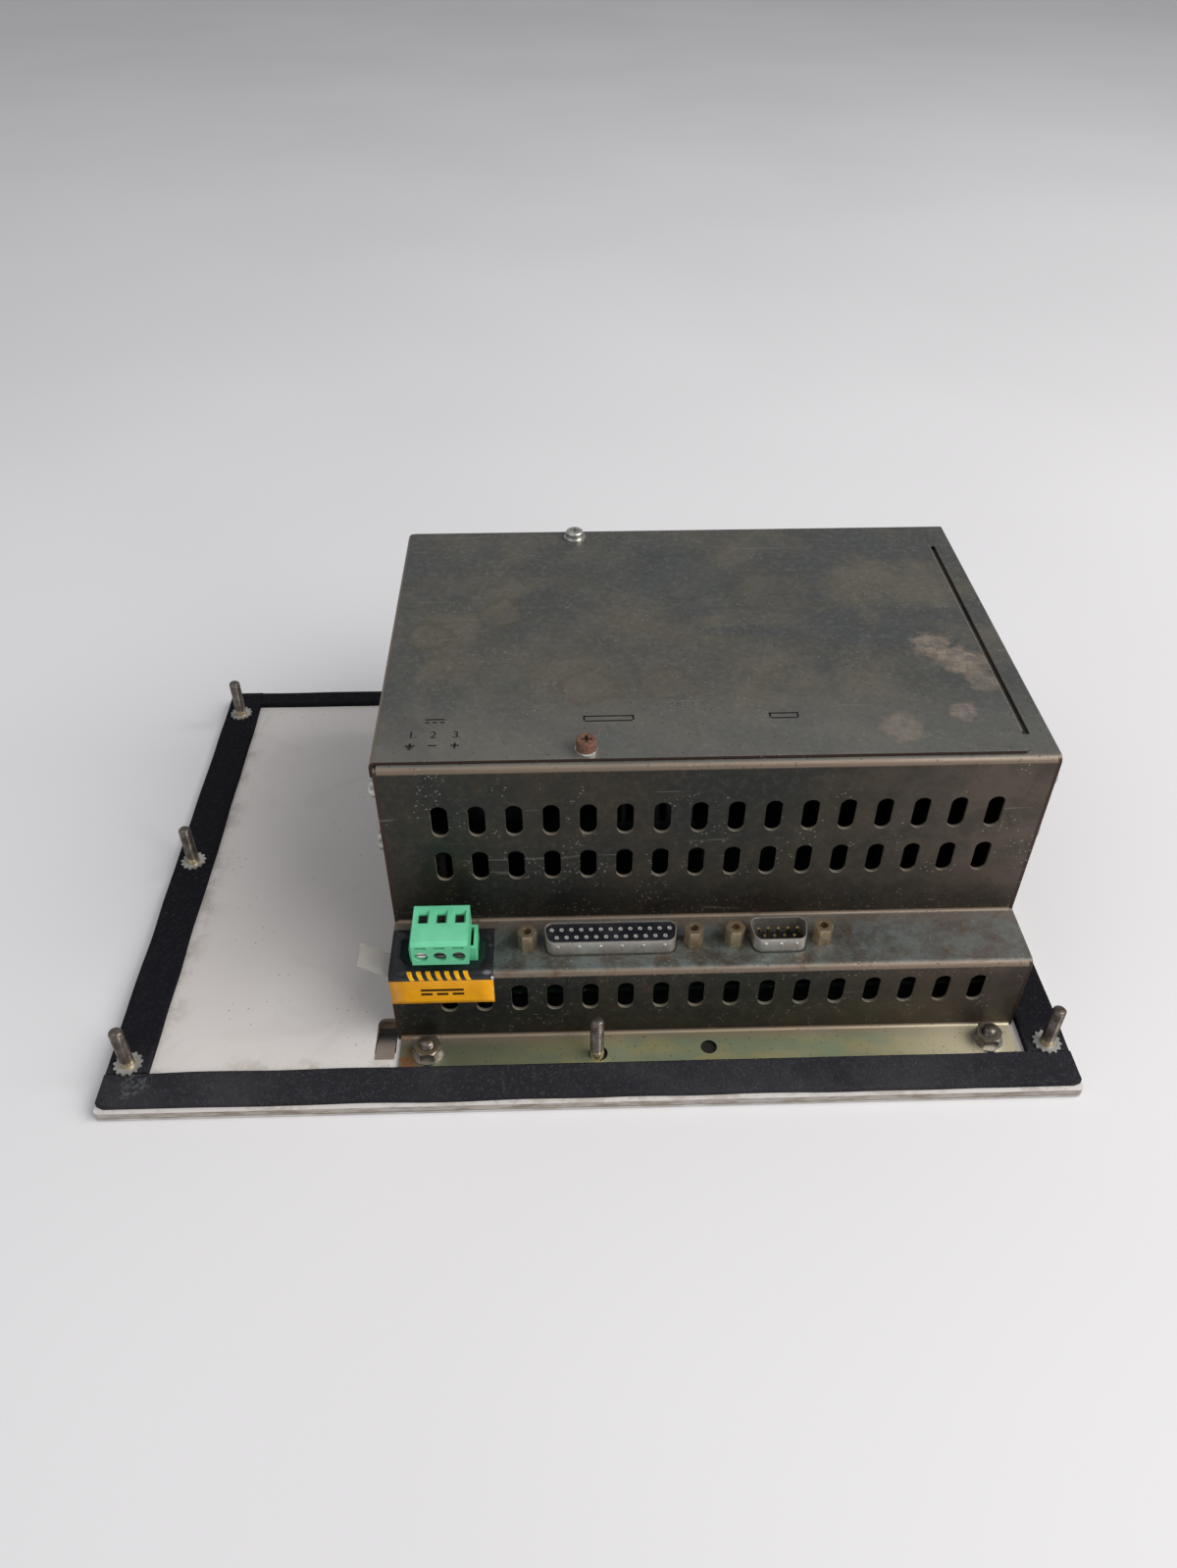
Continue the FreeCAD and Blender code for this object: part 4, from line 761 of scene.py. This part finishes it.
def build_label(material):
    """Sticker over the ledge and down the lower wall, with a torn right edge and a wrapped left one."""
    low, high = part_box("power_label")
    header_low, header_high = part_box("power_header")
    gap = LABEL_HOLE_GAP
    columns = [low.x + 0.05 * MM, header_low.x - gap, header_high.x + gap, high.x]
    hole = (header_low.y - gap, header_high.y + gap)
    path = label_path()

    def torn(y, z):
        return high.x - LABEL_TEAR * abs(noise.noise(Vector((z * 900, y * 700, 1.0))))

    shape = Shape()
    for c in range(3):
        x0, x1 = columns[c], columns[c + 1]
        for (ya, za), (yb, zb) in zip(path, path[1:]):
            if c == 1 and hole[0] < (ya + yb) / 2 < hole[1] and za > high.z - 0.5 * MM:
                continue
            xa, xb = (torn(ya, za), torn(yb, zb)) if c == 2 else (x1, x1)
            shape.add([(x0, ya, za), (xa, ya, za), (xb, yb, zb), (x0, yb, zb)], [(0, 3, 2, 1)])
    flap_edge = ((1.5, 0.6), (0.2, 2.4), (0.2, 5.0), (5.0, 3.8))
    flap = [(low.x, low.y + y * MM, high.z - z * MM) for y, z in flap_edge]
    flap += [(low.x, high.y - 3.0 * MM, high.z - 2.4 * MM), (low.x, high.y, high.z - 0.6 * MM)]
    shape.add(flap, [(0, 5, 4, 3, 2, 1)])
    made = shape.make("power_label_sticker", material, "panel")
    merge_doubles(made)
    thicken_inwards(made, LABEL_T)
    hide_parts("power_label")


def build_label_prints(amber, dark, paper):
    """Slanted bars on the black part, a direct-current sign on the amber part, and torn paper bits."""
    low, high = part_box("power_label")
    on_bend = [(y, z) for y, z in label_path(0.03 * MM)
               if y < low.y + LABEL_BEND_R and z > high.z - LABEL_SPLIT]
    count = len(on_bend)
    bars = Shape()
    for k in range(BAR_COUNT):
        left = low.x + BAR_START + BAR_PITCH * k
        edge = [(left + BAR_LEAN * (on_bend[0][1] - z), y, z) for y, z in on_bend]
        bars.add(edge + [(x + BAR_WIDTH, y, z) for x, y, z in edge],
                 [(i, i + count, i + count + 1, i + 1) for i in range(count - 1)])
    bars.make("label_bars", amber, "panel", smooth=False)
    sign = Shape()
    middle, wall, z = (low.x + high.x) / 2, low.y, (low.z + high.z - LABEL_SPLIT) / 2
    for x0, x1, up in ((-6.0, 6.0, 0.4), (-6.0, -2.8, -1.3), (-1.6, 1.6, -1.3), (2.8, 6.0, -1.3)):
        sign.box((middle + x0 * MM, wall - 3 * PRINT_T, z + up * MM),
                 (middle + x1 * MM, wall, z + (up + 0.9) * MM))
    sign.make("label_sign", dark, "panel", smooth=False)
    bits = Shape()
    for x, z, size in ((-0.35, 1.4, 0.42), (-0.2, 2.3, 0.25), (-0.25, 6.4, 0.22)):
        bits.bead((high.x + x * MM, wall + 0.02 * MM, high.z - z * MM),
                  (size * MM, 0.06 * MM, 1.3 * size * MM))
    bits.make("label_torn_bits", paper, "panel")


def merge_doubles(made):
    work = bmesh.new()
    work.from_mesh(made.data)
    bmesh.ops.remove_doubles(work, verts=work.verts, dist=1e-6)
    bmesh.ops.recalc_face_normals(work, faces=work.faces)
    work.to_mesh(made.data)
    work.free()


def thicken_inwards(made, thickness):
    modifier = made.modifiers.new("thickness", "SOLIDIFY")
    modifier.thickness = thickness
    modifier.offset = -1.0


def text_mesh(name, text, size, centre, facing, material, body):
    """Flat printed mark from the built-in font, as a mesh on a level surface, with its top towards +Y."""
    curve = bpy.data.curves.new(name, "FONT")
    curve.body = text
    curve.size = size
    curve.align_x = curve.align_y = "CENTER"
    curve.extrude = PRINT_T / 2
    shown = bpy.data.objects.new(name + "_font", curve)
    bpy.context.scene.collection.objects.link(shown)
    bpy.context.view_layer.update()
    mesh = bpy.data.meshes.new_from_object(shown.evaluated_get(bpy.context.evaluated_depsgraph_get()))
    bpy.data.objects.remove(shown)
    up, facing = Vector((0, 1, 0)), Vector(facing)
    right = up.cross(facing)
    points = [Vector(centre) + right * v.co.x + up * v.co.y + facing * v.co.z for v in mesh.vertices]
    faces = [tuple(p.vertices) for p in mesh.polygons]
    bpy.data.meshes.remove(mesh)
    return piece(name, points, faces, material, body, smooth=False)


def cover_marks(name, bars, z, material):
    """Thin printed bars, each (x0, y0, x1, y1), on the cover."""
    shape = Shape()
    for x0, y0, x1, y1 in bars:
        shape.box((x0, y0, z), (x1, y1, z + PRINT_T))
    shape.make(name, material, "panel", smooth=False)


def outline_bars(cx, cy, w, h):
    """Bars that draw a small connector outline, narrower at its near side."""
    x0, x1, y0, y1 = cx - w / 2, cx + w / 2, cy - h / 2, cy + h / 2
    pen = slant = COVER_PEN
    return [(x0, y1 - pen, x1, y1), (x0 + slant, y0, x1 - slant, y0 + pen),
            (x0, y0 + pen, x0 + pen, y1), (x1 - pen, y0 + pen, x1, y1)]


def build_cover_prints(material):
    """Terminal numbers, their signs and a small picture above each port."""
    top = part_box("rear_cover")[1].z + 0.01 * MM
    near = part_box("rear_cover")[0].y
    plug_low, plug_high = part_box("power_plug")
    centre = (plug_low.x + plug_high.x) / 2
    left, right = centre - NUMBER_PITCH, centre + NUMBER_PITCH
    for x, number in ((left, "1"), (centre, "2"), (right, "3")):
        text_mesh("cover_number_" + number, number, 4.0 * MM, (x, near + 11.0 * MM, top), (0, 0, 1),
                  material, "panel")

    def line(x, y, half):
        return x - half * MM, y, x + half * MM, y + COVER_PEN

    def upright(x, y0, y1):
        return x - COVER_PEN / 2, y0, x + COVER_PEN / 2, y1

    sign_y, supply_y = near + 6.3 * MM, near + 16.6 * MM
    bars = [upright(left, sign_y, sign_y + 1.3 * MM)]
    bars += [line(left, sign_y - d * MM, half) for half, d in ((1.3, 0.0), (0.85, 0.65), (0.4, 1.3))]
    bars += [line(centre, sign_y, 1.1), line(right, sign_y, 1.1)]
    bars.append(upright(right, sign_y - 1.0 * MM, sign_y + 1.36 * MM))
    bars.append(line(centre, supply_y + 0.9 * MM, 2.6))
    bars += [line(centre + k * 2.0 * MM, supply_y - 0.4 * MM, 0.6) for k in (-1, 0, 1)]
    cover_marks("cover_signs", bars, top, material)
    for node, name in (("db25_shell", "cover_port_wide"), ("de9_shell", "cover_port_small")):
        low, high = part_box(node)
        bars = outline_bars((low.x + high.x) / 2, near + 17.0 * MM, 0.26 * (high.x - low.x), 2.6 * MM)
        cover_marks(name, bars, top, material)


def build_key_legends(material):
    """Printed character on each key, readable from the front."""
    signs = {"minus": "-", "point": "."}
    for node in key_nodes():
        low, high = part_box(node)
        name = node[len("key_"):]
        centre = ((low.x + high.x) / 2, (low.y + high.y) / 2, low.z - PRINT_T / 2)
        text_mesh("legend_" + name, signs.get(name, name), 8.0 * MM, centre, (0, 0, -1),
                  material, BODY_OF[node])


def build_shell_dimples(material):
    """Pressed marks along the near side of each connector's metal collar."""
    for port, count, to_wall in (("db25", 6, 3.95), ("de9", 3, 4.4)):
        low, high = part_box(port + "_shell")
        body_low, body_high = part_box(port + "_insulator")
        middle = (low + high) / 2
        reach = (body_high.x - body_low.x) / 2 - 5.0 * MM
        shape = Shape()
        for k in range(count):
            x = middle.x + reach * (2 * k / (count - 1) - 1)
            shape.bead((x, middle.y - to_wall * MM, high.z - 1.9 * MM), (0.55 * MM, 0.16 * MM, 0.75 * MM))
        shape.make(port + "_dimples", material, "panel")


# ---------------------------------------------------------------- stage, light and camera

def build_stage():
    r = Recipe("pale_floor", roughness=0.85)
    r.colour(r.mix(r.rise(r.noise(3.0, 2.0), 0.3, 0.7), (0.80, 0.79, 0.80), (0.84, 0.83, 0.84)))
    size, drop = 6.0, 0.3 * MM
    mesh = bpy.data.meshes.new("floor")
    corners = [(x * size, y * size, -drop) for x, y in ((-1, -1), (1, -1), (1, 1), (-1, 1))]
    mesh.from_pydata(corners, [], [(0, 1, 2, 3)])
    mesh.materials.append(r.material)
    floor = bpy.data.objects.new("floor", mesh)
    bpy.context.scene.collection.objects.link(floor)


def add_area_light(name, at, target, size, power, tint):
    data = bpy.data.lights.new(name, "AREA")
    data.shape = "RECTANGLE"
    data.size, data.size_y = size
    data.energy = power
    data.color = tint
    lamp = bpy.data.objects.new(name, data)
    lamp.location = at
    lamp.rotation_euler = (Vector(target) - Vector(at)).to_track_quat("-Z", "Y").to_euler()
    bpy.context.scene.collection.objects.link(lamp)


def build_light():
    world = bpy.data.worlds.new("soft_room")
    world.use_nodes = True
    sky = world.node_tree.nodes["Background"]
    sky.inputs["Color"].default_value = (0.95, 0.96, 1.0, 1.0)
    sky.inputs["Strength"].default_value = 0.33
    bpy.context.scene.world = world
    middle = (0.0, 0.0, 0.04)
    add_area_light("window_light", (1.15, -0.50, 1.15), middle, (1.6, 1.3), 28.0, (1.0, 0.985, 0.965))
    add_area_light("room_light", (-0.8, -0.4, 1.3), middle, (1.4, 1.4), 2.8, (0.96, 0.975, 1.0))
    bpy.context.scene.view_settings.view_transform = "Standard"


def build_camera():
    data = bpy.data.cameras.new("camera")
    data.lens = CAMERA_LENS
    data.clip_start = 0.01
    camera = bpy.data.objects.new("camera", data)
    camera.location = CAMERA_AT
    camera.rotation_euler = CAMERA_TURN
    bpy.context.scene.collection.objects.link(camera)
    bpy.context.scene.camera = camera


# ---------------------------------------------------------------- the object

def paint(material, *nodes):
    """Gives the material to every slot of these CAD nodes."""
    for node in nodes:
        shown = NODES[node]
        if not shown.material_slots:
            shown.data.materials.append(material)
        for slot in shown.material_slots:
            slot.material = material


def cover_stains():
    """Brown and teal marks on the cover."""
    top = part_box("rear_cover")[1].z
    tan, pale, teal = (0.410, 0.335, 0.260), (0.185, 0.162, 0.120), (0.100, 0.125, 0.125)
    marks = [(102, -1, 7, tan, 0.75), (108, -9, 8, tan, 0.8), (112, -20, 5, tan, 0.6),
             (102.5, -33.5, 4, tan, 0.65), (85, -41, 6, tan, 0.5), (-25, 19, 8, pale, 0.6),
             (-46, 7, 7, pale, 0.55), (2, -19, 9, pale, 0.4), (24, -19, 8, pale, 0.4),
             (60, 30, 14, pale, 0.35), (-23, -15, 8, teal, 0.25), (34, 38, 16, teal, 0.3)]
    return [((x * MM, y * MM, top), radius * MM, tone, strength)
            for x, y, radius, tone, strength in marks]


def paint_nodes():
    nickel = plain_steel("nickel", (0.72, 0.71, 0.68), (0.50, 0.48, 0.44), 0.24)
    bright = plain_steel("bright_zinc", (0.70, 0.69, 0.66), (0.44, 0.42, 0.38), 0.26)
    dull = plain_steel("dull_zinc", (0.66, 0.65, 0.62), (0.34, 0.33, 0.30), 0.40, 0.7)
    dark_screw = plain_steel("dark_screw", (0.20, 0.19, 0.18), (0.06, 0.055, 0.05), 0.36)
    nut = plain_steel("tarnished_zinc", (0.30, 0.27, 0.22), (0.13, 0.11, 0.085), 0.40)
    jack = plain_steel("jackpost_steel", (0.80, 0.66, 0.46), (0.42, 0.31, 0.19), 0.30)
    shell = plain_steel("tin_plate", (0.80, 0.77, 0.72), (0.50, 0.47, 0.43), 0.34)
    green, black, gold = terminal_plastic(), moulded_black(), contact_gold()
    contact = plain_steel("tinned_contacts", (0.95, 0.94, 0.92), (0.80, 0.79, 0.77), 0.30, 0.6)
    # The zinc materials hold painted shade on the walls and painted highlights on the bends and slot
    # edges
    paint(aged_zinc("aged_zinc", vented=True), "chassis", "chassis_step")
    paint(aged_zinc("aged_zinc_ends_and_painted_light"), "left_side_plate", "right_end_plate")
    paint(aged_zinc("aged_zinc_cover_and_painted_light", cover_stains()), "rear_cover")
    paint(coated_plate(), "front_panel_plate")
    paint(overlay_film(), "front_overlay")
    paint(circuit_film(), "membrane_circuit")
    paint(key_film(), *key_nodes())
    paint(tail_film(), "keypad_tail")
    paint(clear_film("clear_film", (0.50, 0.46, 0.42), 0.32), "insulation_film")
    paint(screen_glass("window_film", (0.10, 0.11, 0.12), 0.30), "display_window")
    paint(screen_glass("touch_glass", (0.12, 0.14, 0.13), 0.25), "touch_sensor")
    paint(display_cell(), "lcd_glass")
    paint(plain_steel("tinned_frame", (0.62, 0.61, 0.58), (0.50, 0.48, 0.45)), "lcd_bezel")
    paint(clear_film("light_guide", (0.70, 0.71, 0.70), 0.8), "backlight")
    paint(bright, "chassis_washers", "far_cover_screw", "side_plate_screws", "cover_screw_washers")
    paint(dull, "stud_lock_washers")
    paint(nut, "chassis_nuts")
    paint(jack, "connector_jackposts")
    paint(rusty_steel(), "near_cover_screw")
    paint(green, "power_header", "power_plug")
    paint(gold, "header_pins", "plug_contacts", "de9_pins")
    paint(contact, "db25_contacts")
    paint(shell, "db25_shell", "de9_shell")
    paint(black, "db25_insulator", "de9_insulator", "board_components")
    paint(nickel, "board_standoffs", "board_screws", *[n for n in NODES if n.startswith("clamp_")])
    paint(dark_screw, "clamp_screw_2", "clamp_screw_3")
    paint(circuit_board(), "main_board", "power_board")
    build_shell_dimples(shell)


def build_object():
    paint_nodes()
    build_gasket(foam())
    metal = stud_steel()
    build_studs("mounting_studs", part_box("panel_gasket")[1].z + MOUNTING_STUD_PLAIN, metal)
    build_studs("chassis_studs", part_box("chassis_studs")[0].z + CHASSIS_STUD_PLAIN, metal)
    build_label(printed_label())
    build_label_prints(ink("label_amber", (0.90, 0.40, 0.01)), ink("label_ink", (0.030, 0.012, 0.008)),
                       ink("paper_edge", (0.60, 0.60, 0.58)))
    build_cover_prints(ink("cover_ink", (0.009, 0.009, 0.009)))
    build_key_legends(ink("legend_ink", (0.020, 0.024, 0.032)))


build_camera()
build_light()
build_stage()
build_object()
